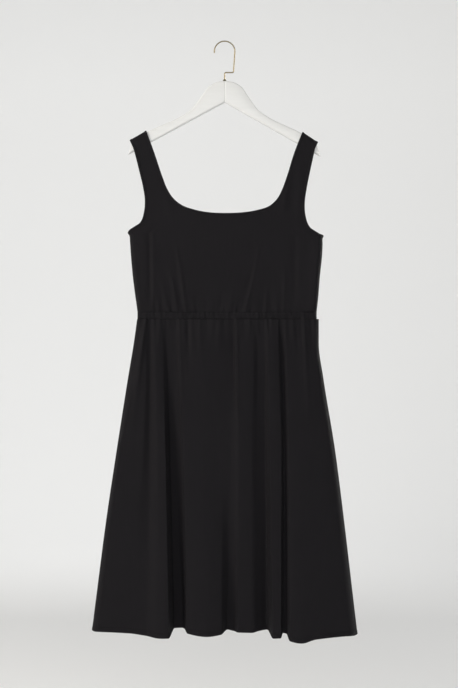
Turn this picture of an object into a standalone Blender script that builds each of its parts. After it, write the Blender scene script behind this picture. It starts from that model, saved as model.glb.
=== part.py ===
"""A black jersey skater dress on a white wooden hanger with a brass hook.

Metres, +Z up. The origin is the inside top of the hook, where it rests on a peg or a rail.
The dress faces -Y. Left and right are as seen from the front, so left is -X.
The tables and the shape functions below are in millimetres, and the last step of each
piece turns them to metres.
"""

import functools
import math

import bmesh
import bpy
import numpy as np
from mathutils import Vector

MM = 0.001
MERGE = 0.001  # points this close are one
SHARP_ANGLE = math.radians(50)

# Cloth
WALL = 1.6  # jersey wall
SEAM = 0.3  # gap between two pieces that are sewn together
BAND_WIDTH = 6.5  # neck and armhole bands
BAND_PROUD = 0.5  # how far a band stands out of the panel, on both faces
PANEL_INSET = BAND_WIDTH + SEAM  # from the dress's edge to the panel's
SEAM_ROUND = 32.0  # reach of the round turn of the cloth at a side seam
SEAM_HALF = SEAM  # half the gap of the outer faces at a side or shoulder seam; inside it is about SEAM
END_SHARE = 0.08  # part of an edge over which a band's width turns to lie along the seam at its end

# Waist casing, between the bodice and the skirt
CASING_TOP = -616.0
CASING_BOTTOM = -632.0
CASING_WALL = 2.2  # jersey with the elastic inside

# The hem is straight, and a little lower on the right
HEM_CENTRE = -1345.3
HEM_SLOPE = -0.015

# Shoulder ridges, where the straps turn over the hanger: ends (x, z) at the neck and at the armhole
RIDGE_LEFT = ((-178.5, -202.7), (-216.0, -226.0))
RIDGE_RIGHT = ((177.4, -205.6), (212.2, -229.6))
RIDGE_ROUND = 9.0

# Neck edge (x, z), from the left ridge down, along the front and up to the right ridge
NECK = (
    RIDGE_LEFT[0],
    (-160.5, -252.4),
    (-142.0, -307.1),
    (-131.3, -334.5),
    (-118.0, -356.0),
    (-98.0, -372.8),
    (-68.0, -383.8),
    (-32.0, -390.2),
    (3.0, -391.5),
    (38.0, -390.2),
    (74.0, -384.6),
    (102.0, -375.0),
    (119.5, -358.5),
    (131.8, -334.5),
    (141.8, -307.1),
    (158.9, -252.4),
    RIDGE_RIGHT[0],
)

# Armhole edges (x, z), from the ridge down to the side seam
ARMHOLE_LEFT = (
    RIDGE_LEFT[1],
    (-207.0, -246.0),
    (-202.5, -262.0),
    (-193.5, -298.0),
    (-185.0, -334.5),
    (-181.2, -362.0),
    (-183.0, -389.0),
    (-190.5, -409.5),
    (-202.5, -420.5),
    (-213.5, -426.5),
    (-220.8, -435.0),
)
ARMHOLE_RIGHT = (
    RIDGE_RIGHT[1],
    (205.3, -246.0),
    (202.3, -260.0),
    (194.0, -298.0),
    (186.8, -334.5),
    (182.2, -368.0),
    (183.6, -397.0),
    (191.4, -417.5),
    (206.0, -432.5),
    (225.5, -442.0),
)

# Side seams of the bodice (x, z), from the underarm to the waist
SIDE_LEFT = (
    ARMHOLE_LEFT[-1],
    (-217.0, -442.5),
    (-215.9, -455.0),
    (-214.2, -480.0),
    (-208.8, -540.0),
    (-199.4, CASING_TOP),
)
SIDE_RIGHT = (
    ARMHOLE_RIGHT[-1],
    (223.4, -449.0),
    (223.6, -460.0),
    (222.8, -480.0),
    (216.8, -540.0),
    (211.4, CASING_TOP),
)

# Where the straps end and the body of the bodice begins: shares of the neck and armhole edges
NECK_CORNERS = (0.275, 0.725)
STRAP_END = 0.545
STRAP_LENGTH = 145.0  # about
STRAP_FOOT = 0.14  # each strap's share of the width of the body
ARMHOLE_DROP = 110.0  # about, along the armhole from the end of the strap to the underarm
ARMHOLE_SHARE = 0.36  # part of the body's height that runs along the armhole
ARMHOLE_MIDDLE = 60.0  # a row lies here, this far above the underarm
STRAP_TURN = 0.56  # part of a strap's width that holds the columns of the round turn

# Distance of the outer face from the hanger's plane at each height, before the seams close it
BODICE_DEPTH = (
    # height, front, back
    (-200.0, 9.0, 9.0),
    (-310.0, 9.4, 9.2),
    (-390.0, 12.0, 10.5),
    (-460.0, 16.5, 13.0),
    (-550.0, 18.0, 14.0),
    (CASING_TOP, 15.5, 13.0),
)
CASING_DEPTH = (14.0, 12.0)  # front, back

# Side edges of the skirt at each height
SKIRT_SIDES = (
    # height, left, right
    (CASING_BOTTOM, -199.4, 214.6),
    (-686.0, -206.9, 214.6),
    (-768.0, -220.4, 225.4),
    (-932.0, -246.0, 252.2),
    (-1096.0, -270.4, 273.2),
    (-1260.0, -291.5, 292.6),
    (-1350.0, -302.8, 303.4),
)

# The skirt's ridges and troughs, from left to right, by their sections at these heights
FOLD_HEIGHTS = (CASING_BOTTOM, -715.0, -930.0, -1346.0)
FRONT_FOLDS = (
    # name, (x, y) at the waist, high, in the middle and at the hem, how much lower the hem hangs
    ("left_edge", (-199.0, -15.0), (-206.0, -14.0), (-246.0, -13.0), (-303.0, -12.0), 0.0),
    ("left_panel", (-190.0, -16.0), (-194.0, -20.0), (-236.0, -21.0), (-286.0, -19.0), 0.0),
    ("outer_trough_edge", (-179.0, -16.0), (-179.0, -19.0), (-186.0, -22.0), (-216.0, -22.0), 0.0),
    ("outer_trough", (-169.0, -13.0), (-168.0, -14.0), (-170.0, -18.0), (-180.0, -22.0), -1.0),
    ("left_ridge", (-158.0, -17.0), (-157.0, -23.0), (-150.0, -31.0), (-148.0, -36.0), 5.0),
    ("left_ridge_flank", (-143.0, -16.0), (-140.0, -20.0), (-134.0, -31.0), (-125.0, -39.0), 5.0),
    ("deep_trough", (-132.0, -14.0), (-129.0, -14.0), (-123.0, -10.0), (-114.0, 0.0), -5.0),
    ("deep_trough_floor", (-128.0, -14.0), (-124.0, -14.0), (-111.0, -11.0), (-97.0, 0.0), -6.0),
    ("inner_trough", (-112.0, -14.0), (-109.0, -15.0), (-100.0, -17.0), (-92.0, -3.0), -5.0),
    ("inner_ridge", (-102.0, -17.0), (-100.0, -22.0), (-92.0, -26.0), (-84.0, -26.0), -3.0),
    ("broad_ridge", (-55.0, -18.0), (-54.0, -23.0), (-48.0, -27.0), (-41.0, -31.0), 2.0),
    ("broad_ridge_flank", (-19.0, -17.0), (-17.0, -21.0), (-10.0, -25.0), (-10.0, -26.0), -2.0),
    ("centre_trough", (10.0, -15.0), (11.0, -18.0), (12.0, -19.0), (10.0, -2.0), -4.0),
    ("centre_trough_side", (20.0, -14.0), (21.0, -17.0), (22.0, -20.0), (20.0, -3.0), -3.0),
    ("centre_ridge", (28.0, -19.0), (28.0, -27.0), (33.0, -31.0), (31.0, -15.0), -4.0),
    ("centre_ridge_flank", (62.0, -18.0), (64.0, -25.0), (60.0, -29.0), (61.0, -16.0), -4.0),
    ("right_trough", (74.0, -16.0), (76.0, -20.0), (76.0, -20.0), (77.0, -2.0), -3.0),
    ("right_trough_floor", (88.0, -15.0), (90.0, -20.0), (93.0, -22.0), (98.0, -7.0), -6.0),
    ("narrow_ridge", (97.0, -19.0), (98.0, -28.0), (102.0, -37.0), (110.0, -38.0), 2.0),
    ("narrow_ridge_flank", (120.0, -18.0), (122.0, -25.0), (128.0, -35.0), (132.0, -39.0), 2.0),
    ("narrow_trough", (126.0, -14.0), (129.0, -16.0), (134.0, -25.0), (138.0, -27.0), -7.0),
    ("narrow_trough_floor", (130.0, -14.0), (132.0, -16.0), (137.0, -25.0), (142.0, -26.0), -6.0),
    ("right_ridge_flank", (138.0, -17.0), (140.0, -23.0), (144.0, -34.0), (149.0, -43.0), 5.0),
    ("right_ridge", (152.0, -16.0), (155.0, -22.0), (163.0, -34.0), (172.0, -46.0), 9.0),
    ("right_slope", (180.0, -15.0), (183.0, -21.0), (196.0, -32.0), (206.0, -44.0), 6.0),
    ("right_panel", (201.0, -15.0), (205.0, -18.0), (238.0, -27.0), (282.0, -34.0), -1.0),
    ("right_edge", (214.0, -15.0), (217.0, -14.0), (252.0, -13.0), (303.0, -12.0), 0.0),
)
BACK_FOLDS = (
    # name, (x, y) at the waist, high, in the middle and at the hem, how much lower the hem hangs
    ("left_edge", (-199.0, 13.0), (-209.0, 12.0), (-244.0, 12.0), (-303.0, 12.0), 0.0),
    ("left_panel", (-184.0, 14.0), (-190.0, 17.0), (-216.0, 19.0), (-256.0, 22.0), 0.0),
    ("left_ridge", (-160.0, 16.0), (-165.0, 22.0), (-182.0, 31.0), (-211.0, 42.0), 3.0),
    ("left_trough", (-136.0, 12.0), (-140.0, 14.0), (-151.0, 21.0), (-170.0, 30.0), -2.0),
    ("second_ridge", (-108.0, 16.0), (-110.0, 22.0), (-117.0, 33.0), (-128.0, 45.0), 4.0),
    ("second_trough", (-80.0, 12.0), (-81.0, 16.0), (-84.0, 25.0), (-88.0, 36.0), -3.0),
    ("third_ridge", (-48.0, 17.0), (-48.0, 23.0), (-48.0, 34.0), (-48.0, 46.0), 2.0),
    ("centre_trough", (-20.0, 13.0), (-18.0, 16.0), (-15.0, 25.0), (-8.0, 36.0), -3.0),
    ("fourth_ridge", (14.0, 16.0), (17.0, 22.0), (23.0, 33.0), (34.0, 44.0), 2.0),
    ("fourth_trough", (44.0, 12.0), (48.0, 15.0), (59.0, 24.0), (78.0, 34.0), -3.0),
    ("fifth_ridge", (76.0, 17.0), (80.0, 23.0), (92.0, 35.0), (112.0, 47.0), 4.0),
    ("fifth_trough", (104.0, 12.0), (109.0, 15.0), (124.0, 22.0), (150.0, 31.0), -2.0),
    ("right_ridge", (136.0, 16.0), (142.0, 22.0), (159.0, 31.0), (190.0, 41.0), 3.0),
    ("right_trough", (162.0, 13.0), (169.0, 15.0), (189.0, 20.0), (224.0, 27.0), -1.0),
    ("right_panel", (190.0, 14.0), (198.0, 15.0), (221.0, 17.0), (262.0, 20.0), 0.0),
    ("right_edge", (214.0, 13.0), (220.0, 12.0), (252.0, 12.0), (303.0, 12.0), 0.0),
)

# Hanger: sizes are from the middle of its top, which is HANGER_TOP below the hook's rest
HANGER_TOP = 89.4
HANGER_OFFSET = 1.2
HANGER_TILT = math.radians(0.6)  # the right arm hangs lower
ARM_THICKNESS = 12.0
ARM_ROUND = 5.5
ARM_TIP_SHARE = 0.65  # thickness left at the very tip
ARM_TIP_REACH = 4.0  # length over which it thins
ARM_BEND_REACH = 9.0  # a section lies this far before each bend of the top
ARM_LAST_SECTIONS = (17.0, 9.0, 4.0, 0.0)  # distances from the end of the arm
ARM_UNDERSIDE = -49.5  # height of the underside at the middle
ARM_SLOPE = -0.5527  # the underside is straight
ARM_TOP = (
    # distance from the middle, height
    (0.0, 0.0),
    (15.7, -2.0),
    (36.4, -12.6),
    (56.1, -39.6),
    (75.7, -64.8),
    (107.9, -86.5),
    (140.4, -101.4),
    (169.3, -114.6),
    (208.0, -140.5),
    (219.0, -167.0),
)

# Hook
WIRE_RADIUS = 1.4
HOOK_RADIUS = 23.4  # to the middle of the wire
HOOK_DROP = 3.6  # straight end of the hook below its round
JOG_HEIGHT = 70.2  # height of the cranked stretch, below the hook's rest
JOG_REACH = 20.4  # to the crank's corner, from where the wire leans out to the round
JOG_ROUND = 3.5
FERRULE_RADIUS = 4.2
FERRULE_TOP_RADIUS = 3.2
FERRULE_HEIGHT = 3.6


def hermite(knots, values, slopes, at):
    """The cubic curve through the values at the knots with these slopes, at the points in at."""
    i = np.clip(np.searchsorted(knots, at, side="right") - 1, 0, len(knots) - 2)
    span = knots[i + 1] - knots[i]
    f = (at - knots[i]) / span
    left = values[i] * (1 + 2 * f) * (1 - f) ** 2 + slopes[i] * span * f * (1 - f) ** 2
    right = values[i + 1] * f * f * (3 - 2 * f) - slopes[i + 1] * span * f * f * (1 - f)
    return left + right


def steady(knots, values, at):
    """A smooth curve that keeps the values as its highest and lowest points, as a fold does."""
    knots, values = np.asarray(knots, float), np.asarray(values, float)
    rise = np.diff(values) / np.diff(knots)
    before, after = rise[:-1], rise[1:]
    same = before * after > 0
    inner = np.where(same, 2 * before * after / np.where(same, before + after, 1.0), 0.0)
    slopes = np.concatenate([rise[:1], inner, rise[-1:]])
    return hermite(knots, values, slopes, at)


def outline(points, shares):
    """Points (x, z) at shares of the length of the smooth curve through the given ones."""
    points = np.asarray(points, float)
    lengths = np.linalg.norm(np.diff(points, axis=0), axis=1)
    knots = np.concatenate([[0.0], np.cumsum(lengths)]) / lengths.sum()
    slopes = np.gradient(points, knots, axis=0)
    return np.stack([hermite(knots, points[:, k], slopes[:, k], shares) for k in (0, 1)], axis=-1)


def unit(vectors):
    return vectors / np.linalg.norm(vectors, axis=-1, keepdims=True)


def inset_edge(points, shares, width, side, first_way, last_way):
    """The edge line moved into the cloth by width. At its ends it moves along first_way and last_way."""
    step = 0.002
    ahead, behind = np.minimum(shares + step, 1), np.maximum(shares - step, 0)
    along = outline(points, ahead) - outline(points, behind)
    way = side * unit(np.stack([-along[:, 1], along[:, 0]], axis=-1))
    first = np.clip(1 - shares / END_SHARE, 0, 1)[:, None]
    last = np.clip(1 - (1 - shares) / END_SHARE, 0, 1)[:, None]
    way = way * (1 - first) * (1 - last) + unit(first_way) * first + unit(last_way) * last
    return outline(points, shares) + width * unit(way)


def between(start, end):
    return np.subtract(end, start).astype(float)


def neck_line(shares, width):
    ways = (between(*RIDGE_LEFT), between(*RIDGE_RIGHT))
    return inset_edge(NECK, shares, width, -1, *ways)


def side_length(left):
    return np.linalg.norm(np.diff(SIDE_LEFT if left else SIDE_RIGHT, axis=0), axis=1).sum()


def side_seam(left, reaches):
    """Points (x, z) of the bodice's side seam at these distances along it from the underarm."""
    return outline(SIDE_LEFT if left else SIDE_RIGHT, reaches / side_length(left))


def armhole_line(left, shares, width):
    ridge, edge = (RIDGE_LEFT, ARMHOLE_LEFT) if left else (RIDGE_RIGHT, ARMHOLE_RIGHT)
    ways = (between(*reversed(ridge)), between(*side_seam(left, np.array([0.0, PANEL_INSET]))))
    return inset_edge(edge, shares, width, 1 if left else -1, *ways)


def distance_to(line, points):
    """Distance of each point (x, z) to a line of straight stretches."""
    nearest = np.full(points.shape[:-1], np.inf)
    for start, end in zip(line[:-1], line[1:]):
        way = between(start, end)
        share = np.clip((points - start) @ way / (way @ way), 0, 1)
        foot = np.asarray(start) + share[..., None] * way
        nearest = np.minimum(nearest, np.linalg.norm(points - foot, axis=-1))
    return nearest


def closing(distance, reach):
    """0 at a fold or seam and 1 beyond its reach, as a quarter of an ellipse."""
    return np.sqrt(1 - (1 - np.clip(distance / reach, 0, 1)) ** 2)


def turn_shares(*angles):
    """Shares of the reach of a round turn, where the cloth has turned by these angles."""
    return 1 - np.cos(np.radians(angles))


# Rows and columns of the grids, as shares. The first angle of a turn is small, so that the
# wall's edge stands square to the seam.
TURN = turn_shares(0, 3, 14, 42, 90)
RIDGE_TURN = turn_shares(0, 3, 22, 45, 67, 90)
STRAP_ROWS = np.concatenate([RIDGE_TURN * RIDGE_ROUND / STRAP_LENGTH, [0.25, 0.5, 0.75, 1.0]])
STRAP_COLUMNS = np.append(STRAP_TURN * TURN, 1.0)
ARMHOLE_ROWS = 1 - np.append(TURN * SEAM_ROUND, [ARMHOLE_MIDDLE, ARMHOLE_DROP])[::-1] / ARMHOLE_DROP
SIDE_ROWS = np.array([0.25, 0.5, 0.75, 1.0])
NECK_COLUMNS = 14
CASING_COLUMNS = 16
SKIRT_ROWS = np.append([0.0, 0.05], np.linspace(0.12, 1.0, 9))
SEAM_POINTS = 61  # points on a side seam, to measure distances to it


def bodice_surface(points, back, gap):
    """Points (x, y, z) on the outer face of the bodice over points (x, z) of its front view."""
    heights, front_depth, back_depth = np.array(BODICE_DEPTH)[::-1].T
    depth = steady(heights, back_depth if back else front_depth, points[..., 1])
    seams = [side_seam(left, np.linspace(0, side_length(left), SEAM_POINTS)) for left in (True, False)]
    sides = np.minimum(*(distance_to(seam, points) for seam in seams))
    ridges = np.minimum(distance_to(RIDGE_LEFT, points), distance_to(RIDGE_RIGHT, points))
    depth = depth * closing(sides, SEAM_ROUND) * closing(ridges, RIDGE_ROUND)
    depth = np.maximum(depth, gap)
    return np.stack([points[..., 0], depth if back else -depth, points[..., 1]], axis=-1)


def strap_points(left, columns, rows):
    """A strap in the front view: straight across from the armhole edge to the neck edge."""
    shares = rows * NECK_CORNERS[0] if left else 1 - rows * (1 - NECK_CORNERS[1])
    neck = neck_line(shares, PANEL_INSET)
    armhole = armhole_line(left, rows * STRAP_END, PANEL_INSET)
    across = columns[:, None, None]
    return armhole * (1 - across) + neck * across


def side_points(left):
    """The side edge of the body: the lower armhole and then the side seam, as rows and points."""
    armhole = armhole_line(left, STRAP_END + (1 - STRAP_END) * ARMHOLE_ROWS, PANEL_INSET)
    seam = side_seam(left, PANEL_INSET + (side_length(left) - PANEL_INSET) * SIDE_ROWS)
    return np.concatenate([armhole, seam])


def body_points():
    """The body of the bodice in the front view.

    Its top follows the ends of the straps and the neck edge, and its bottom the waist. In between
    the points blend from one to the other, and near the sides they follow the side edges.
    """
    side_rows = ARMHOLE_SHARE + (1 - ARMHOLE_SHARE) * SIDE_ROWS
    rows = np.concatenate([ARMHOLE_SHARE * ARMHOLE_ROWS, side_rows])
    lefts, rights = side_points(True), side_points(False)
    strap_left = strap_points(True, STRAP_COLUMNS, np.array([1.0]))[:, 0]
    strap_right = strap_points(False, STRAP_COLUMNS, np.array([1.0]))[::-1, 0]
    neck = neck_line(np.linspace(*NECK_CORNERS, NECK_COLUMNS + 1)[1:-1], PANEL_INSET)
    top = np.concatenate([strap_left, neck, strap_right])
    feet = STRAP_FOOT * STRAP_COLUMNS
    middle = np.linspace(STRAP_FOOT, 1 - STRAP_FOOT, NECK_COLUMNS + 1)[1:-1]
    share = np.concatenate([feet, middle, 1 - feet[::-1]])
    bottom = lefts[-1] + share[:, None] * (rights[-1] - lefts[-1])
    v, u = rows[None, :, None], share[:, None, None]
    blend = top[:, None] * (1 - v) + bottom[:, None] * v
    left_bow = lefts - (lefts[0] * (1 - v) + lefts[-1] * v)
    right_bow = rights - (rights[0] * (1 - v) + rights[-1] * v)
    return blend + (1 - u) ** 3 * left_bow + u**3 * right_bow


def skirt_side(height, column):
    """x of the left (1) or right (2) edge of the skirt at each height."""
    table = np.array(SKIRT_SIDES)[::-1]
    return steady(table[:, 0], table[:, column], height)


def skirt_surface(folds, columns, rows, gap):
    """Points (x, y, z) on the outer face of a skirt panel, columns across by rows down.

    Each fold's line runs smoothly through its four places, and each row is a section through the
    lines at that level, closed round to the side seams. Each fold's drop grows evenly from the waist
    to the hem.
    """
    places = np.array([fold[1:-1] for fold in folds])[:, ::-1]
    drops = [fold[-1] for fold in folds]
    heights = np.array(FOLD_HEIGHTS)[::-1]
    out = np.sign(places[0, 0, 1])
    sections = []
    for row in rows:
        level = CASING_BOTTOM - SEAM + row * (HEM_CENTRE - CASING_BOTTOM)
        across = np.array([steady(heights, line[:, 0], level) for line in places])
        across[0], across[-1] = skirt_side(level, 1), skirt_side(level, 2)
        depth = np.array([steady(heights, line[:, 1], level) for line in places])
        x = np.interp(columns, np.arange(len(folds)), across)
        y = steady(across, depth, x)
        edge = np.minimum(x - across[0], across[-1] - x)
        y = y * closing(edge, SEAM_ROUND)
        y = np.where(edge < SEAM_ROUND, out * np.maximum(out * y, gap), y)
        z = level + row * (HEM_SLOPE * x - steady(across, drops, x))
        sections.append(np.stack([x, y, z], axis=-1))
    return np.stack(sections, axis=1)


def skirt_columns(folds, each):
    """Columns as fold numbers: each of them is split alike, and the outer two follow the round turn."""
    inner = np.arange(each, (len(folds) - 2) * each + 1) / each
    return np.concatenate([TURN[:-1], inner, len(folds) - 1 - TURN[:-1][::-1]])


def new_piece(name, material, mesh):
    """An object of this mesh in the dress's collection, with its faces pointing out."""
    data = bpy.data.meshes.new(name)
    mesh.to_mesh(data)
    mesh.free()
    data.materials.append(material)
    data.shade_smooth()
    data.set_sharp_from_angle(angle=SHARP_ANGLE)
    piece = bpy.data.objects.new(name, data)
    bpy.data.collections["skater_dress"].objects.link(piece)
    return piece


def add_grid(mesh, points):
    """Adds a grid whose points, columns by rows, are the given ones in millimetres."""
    columns, rows = points.shape[:2]
    made = bmesh.ops.create_grid(mesh, x_segments=columns - 1, y_segments=rows - 1, size=0.5)
    for vertex in made["verts"]:
        column = round((vertex.co.x + 0.5) * (columns - 1))
        row = round((vertex.co.y + 0.5) * (rows - 1))
        vertex.co = Vector(points[column, row]) * MM


def cloth(name, material, grids, thickness, proud=0.0):
    """A piece of cloth from grids that meet at their edges.

    The grids are its outer face, and Solidify gives the wall. proud is how far the wall stands out of them.
    """
    mesh = bmesh.new()
    for points in grids:
        add_grid(mesh, points)
    bmesh.ops.remove_doubles(mesh, verts=mesh.verts, dist=MERGE * MM)
    bmesh.ops.recalc_face_normals(mesh, faces=mesh.faces)
    face_outwards(mesh)
    piece = new_piece(name, material, mesh)
    wall = piece.modifiers.new("Wall", "SOLIDIFY")
    wall.thickness = thickness * MM
    wall.offset = 2 * proud / thickness - 1
    wall.use_even_offset = False
    wall.use_quality_normals = True
    return piece


def face_outwards(mesh):
    """Turns all the faces over if most of them look at the hanger's plane."""
    looks = sum(face.normal.y * face.calc_center_median().y * face.calc_area() for face in mesh.faces)
    if looks < 0:
        bmesh.ops.reverse_faces(mesh, faces=mesh.faces)


def make_bodice(name, back, material):
    flat = [
        strap_points(True, STRAP_COLUMNS, STRAP_ROWS),
        strap_points(False, STRAP_COLUMNS, STRAP_ROWS),
        body_points(),
    ]
    return cloth(name, material, [bodice_surface(points, back, SEAM_HALF) for points in flat], WALL)


def make_band(name, line, shares, material):
    """A closed band: its edge line on the front, and the same line on the back, joined at both ends."""
    flat = np.stack([line(shares, 0.0), line(shares, BAND_WIDTH)])
    grids = [bodice_surface(flat, back, 0.0) for back in (False, True)]
    for points in grids:
        points[:, [0, -1], 1] = 0.0
    return cloth(name, material, grids, WALL + 2 * BAND_PROUD, BAND_PROUD)


def neck_shares():
    left = STRAP_ROWS[:-1] * NECK_CORNERS[0]
    middle = np.linspace(*NECK_CORNERS, NECK_COLUMNS + 1)
    right = 1 - STRAP_ROWS[:-1][::-1] * (1 - NECK_CORNERS[1])
    return np.concatenate([left, middle, right])


def armhole_shares():
    return np.concatenate([STRAP_ROWS[:-1] * STRAP_END, STRAP_END + (1 - STRAP_END) * ARMHOLE_ROWS])


def make_casing(material):
    """The elastic casing: a flat ring round the waist, a little tighter than the bodice and skirt."""
    left, right = SIDE_LEFT[-1][0], SIDE_RIGHT[-1][0]
    turn = TURN * SEAM_ROUND
    middle = np.linspace(left + SEAM_ROUND, right - SEAM_ROUND, CASING_COLUMNS)[1:-1]
    x = np.concatenate([left + turn, middle, right - turn[::-1]])
    level = np.array([CASING_TOP - SEAM, CASING_BOTTOM])
    edge = np.minimum(x - left, right - x)
    grids = []
    for depth in (-CASING_DEPTH[0], CASING_DEPTH[1]):
        y = depth * closing(edge, SEAM_ROUND)
        points = np.empty((len(x), 2, 3))
        points[..., 0], points[..., 1], points[..., 2] = x[:, None], y[:, None], level
        grids.append(points)
    return cloth("waist_casing", material, grids, CASING_WALL)


def make_skirt(name, folds, each, material):
    points = skirt_surface(folds, skirt_columns(folds, each), SKIRT_ROWS, SEAM_HALF)
    return cloth(name, material, [points], WALL)


def arc(centre, radius, start, end, count):
    """Points on an arc. Angles are in degrees, from the first axis towards the second."""
    turn = np.radians(np.linspace(start, end, count))
    return np.stack([centre[0] + radius * np.cos(turn), centre[1] + radius * np.sin(turn)], axis=-1)


def rounded_section(height, thickness, radius):
    """Points (y, z) round a rectangle with round corners, centred on 0."""
    radius = min(radius, 0.49 * height, 0.49 * thickness)
    points = []
    middle_y, middle_z = thickness / 2 - radius, height / 2 - radius
    for corner, (y, z) in enumerate(((1, 1), (-1, 1), (-1, -1), (1, -1))):
        start = 90 * corner
        points.append(arc((y * middle_y, z * middle_z), radius, start, start + 90, 4))
    return np.concatenate(points)


def make_arm(name, side, material):
    """One half of the hanger: sections across it, from the joint in the middle to the tip."""
    table = np.array(ARM_TOP)
    end = table[-1, 0]
    bends = table[1:-2, 0]
    last = end - np.array(ARM_LAST_SECTIONS)
    stations = np.concatenate([[SEAM / 2], bends, bends - ARM_BEND_REACH, last])
    sections = []
    for x in np.sort(stations):
        top, underside = steady(table[:, 0], table[:, 1], x), ARM_UNDERSIDE + ARM_SLOPE * x
        thickness = ARM_THICKNESS * np.interp(x, (end - ARM_TIP_REACH, end), (1, ARM_TIP_SHARE))
        ring = rounded_section(top - underside, thickness, ARM_ROUND)
        ring = np.concatenate([ring, ring[:1]])
        place = np.full(len(ring), side * x)
        sections.append(np.stack([place, ring[:, 0], ring[:, 1] + (top + underside) / 2], axis=-1))
    mesh = bmesh.new()
    add_grid(mesh, np.stack(sections))
    bmesh.ops.remove_doubles(mesh, verts=mesh.verts, dist=MERGE * MM)
    bmesh.ops.holes_fill(mesh, edges=[edge for edge in mesh.edges if edge.is_boundary])
    bmesh.ops.recalc_face_normals(mesh, faces=mesh.faces)
    return new_piece(name, material, mesh)


def make_hook(material):
    """The wire: up from the ferrule, a crank to the right, straight up, and over in half a circle."""
    rise = HOOK_RADIUS - WIRE_RADIUS
    foot = [(0.0, FERRULE_HEIGHT + 2 * SEAM - HANGER_TOP)]
    crank = [
        arc((JOG_ROUND, -JOG_HEIGHT - JOG_ROUND), JOG_ROUND, 180, 90, 5),
        arc((JOG_REACH - JOG_ROUND, -JOG_HEIGHT + JOG_ROUND), JOG_ROUND, -90, 0, 5),
    ]
    bow = arc((0.0, -rise), HOOK_RADIUS, 0, 180, 19)
    tip = [(-HOOK_RADIUS, -rise - HOOK_DROP)]
    path = np.concatenate([foot, *crank, bow, tip])
    data = bpy.data.curves.new("hook", "CURVE")
    data.dimensions = "3D"
    data.bevel_depth = WIRE_RADIUS * MM
    data.bevel_resolution = 2
    data.use_fill_caps = True
    line = data.splines.new("POLY")
    line.points.add(len(path) - 1)
    for point, (x, z) in zip(line.points, path):
        point.co = (x * MM, 0.0, z * MM, 1.0)
    data.materials.append(material)
    hook = bpy.data.objects.new("hook", data)
    bpy.data.collections["skater_dress"].objects.link(hook)
    return hook


def make_ferrule(material):
    """The small round foot of the hook, on top of the hanger."""
    mesh = bmesh.new()
    bmesh.ops.create_cone(
        mesh,
        cap_ends=True,
        segments=24,
        radius1=FERRULE_RADIUS * MM,
        radius2=FERRULE_TOP_RADIUS * MM,
        depth=FERRULE_HEIGHT * MM,
    )
    ferrule = new_piece("hook_ferrule", material, mesh)
    ferrule.location = (0.0, 0.0, (FERRULE_HEIGHT / 2 + SEAM - HANGER_TOP) * MM)
    return ferrule


def principled(name, colour, roughness, metallic):
    material = bpy.data.materials.new(name)
    material.use_nodes = True
    shader = material.node_tree.nodes["Principled BSDF"]
    shader.inputs["Base Color"].default_value = (*colour, 1.0)
    shader.inputs["Roughness"].default_value = roughness
    shader.inputs["Metallic"].default_value = metallic
    return material


def make_dress(jersey):
    make_bodice("bodice_front", False, jersey)
    make_bodice("bodice_back", True, jersey)
    make_band("neck_band", neck_line, neck_shares(), jersey)
    for name, left in (("armhole_band_left", True), ("armhole_band_right", False)):
        make_band(name, functools.partial(armhole_line, left), armhole_shares(), jersey)
    make_casing(jersey)
    make_skirt("skirt_front", FRONT_FOLDS, 2, jersey)
    make_skirt("skirt_back", BACK_FOLDS, 2, jersey)


def make_hanger(lacquer, brass):
    """The two arms hang from an empty at the middle of the hanger's top, which gives them their tilt."""
    middle = bpy.data.objects.new("hanger_middle", None)
    middle.location = (HANGER_OFFSET * MM, 0.0, -HANGER_TOP * MM)
    middle.rotation_euler = (0.0, HANGER_TILT, 0.0)
    bpy.data.collections["skater_dress"].objects.link(middle)
    for name, side in (("hanger_arm_left", -1), ("hanger_arm_right", 1)):
        make_arm(name, side, lacquer).parent = middle
    make_hook(brass)
    make_ferrule(brass)


def main():
    for old in list(bpy.data.objects):
        bpy.data.objects.remove(old)
    collection = bpy.data.collections.new("skater_dress")
    bpy.context.scene.collection.children.link(collection)
    make_dress(principled("black_jersey", (0.017, 0.016, 0.017), 0.75, 0.0))
    make_hanger(
        principled("white_lacquer", (0.8, 0.8, 0.79), 0.3, 0.0),
        principled("brass", (0.62, 0.45, 0.2), 0.3, 1.0),
    )


main()
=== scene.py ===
"""A black jersey skater dress on a white wooden hanger: its finished surfaces, the lights and the camera.

The tables and the shape functions are in millimetres, +Z up, from the inside top of the hook.
The dress faces -Y. Left and right are as seen from the front, so left is -X.
Shapes are grids of points worked out as whole arrays, and mesh_of turns them to metres.
"""

import functools
import math

import bmesh
import bpy
import numpy as np
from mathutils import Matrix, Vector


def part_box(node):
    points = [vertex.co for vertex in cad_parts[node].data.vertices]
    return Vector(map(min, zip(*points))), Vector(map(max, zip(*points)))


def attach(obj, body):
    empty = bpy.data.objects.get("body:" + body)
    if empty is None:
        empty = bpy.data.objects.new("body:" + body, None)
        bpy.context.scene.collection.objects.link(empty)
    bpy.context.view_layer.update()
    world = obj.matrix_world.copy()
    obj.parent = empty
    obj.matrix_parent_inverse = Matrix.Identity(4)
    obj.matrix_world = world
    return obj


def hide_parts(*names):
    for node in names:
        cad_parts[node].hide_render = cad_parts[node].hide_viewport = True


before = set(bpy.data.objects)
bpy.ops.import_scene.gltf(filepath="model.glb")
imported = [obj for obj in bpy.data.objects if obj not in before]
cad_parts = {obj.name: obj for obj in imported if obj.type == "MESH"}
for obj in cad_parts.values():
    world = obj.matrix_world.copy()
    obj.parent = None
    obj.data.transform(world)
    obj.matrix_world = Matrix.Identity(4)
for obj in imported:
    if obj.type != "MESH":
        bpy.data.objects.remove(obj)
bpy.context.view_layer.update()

MM = 0.001


def box_mm(node):
    """The lowest and highest corners of a solid of the frame, in millimetres."""
    low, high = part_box(node)
    return np.array(low) / MM, np.array(high) / MM


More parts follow.
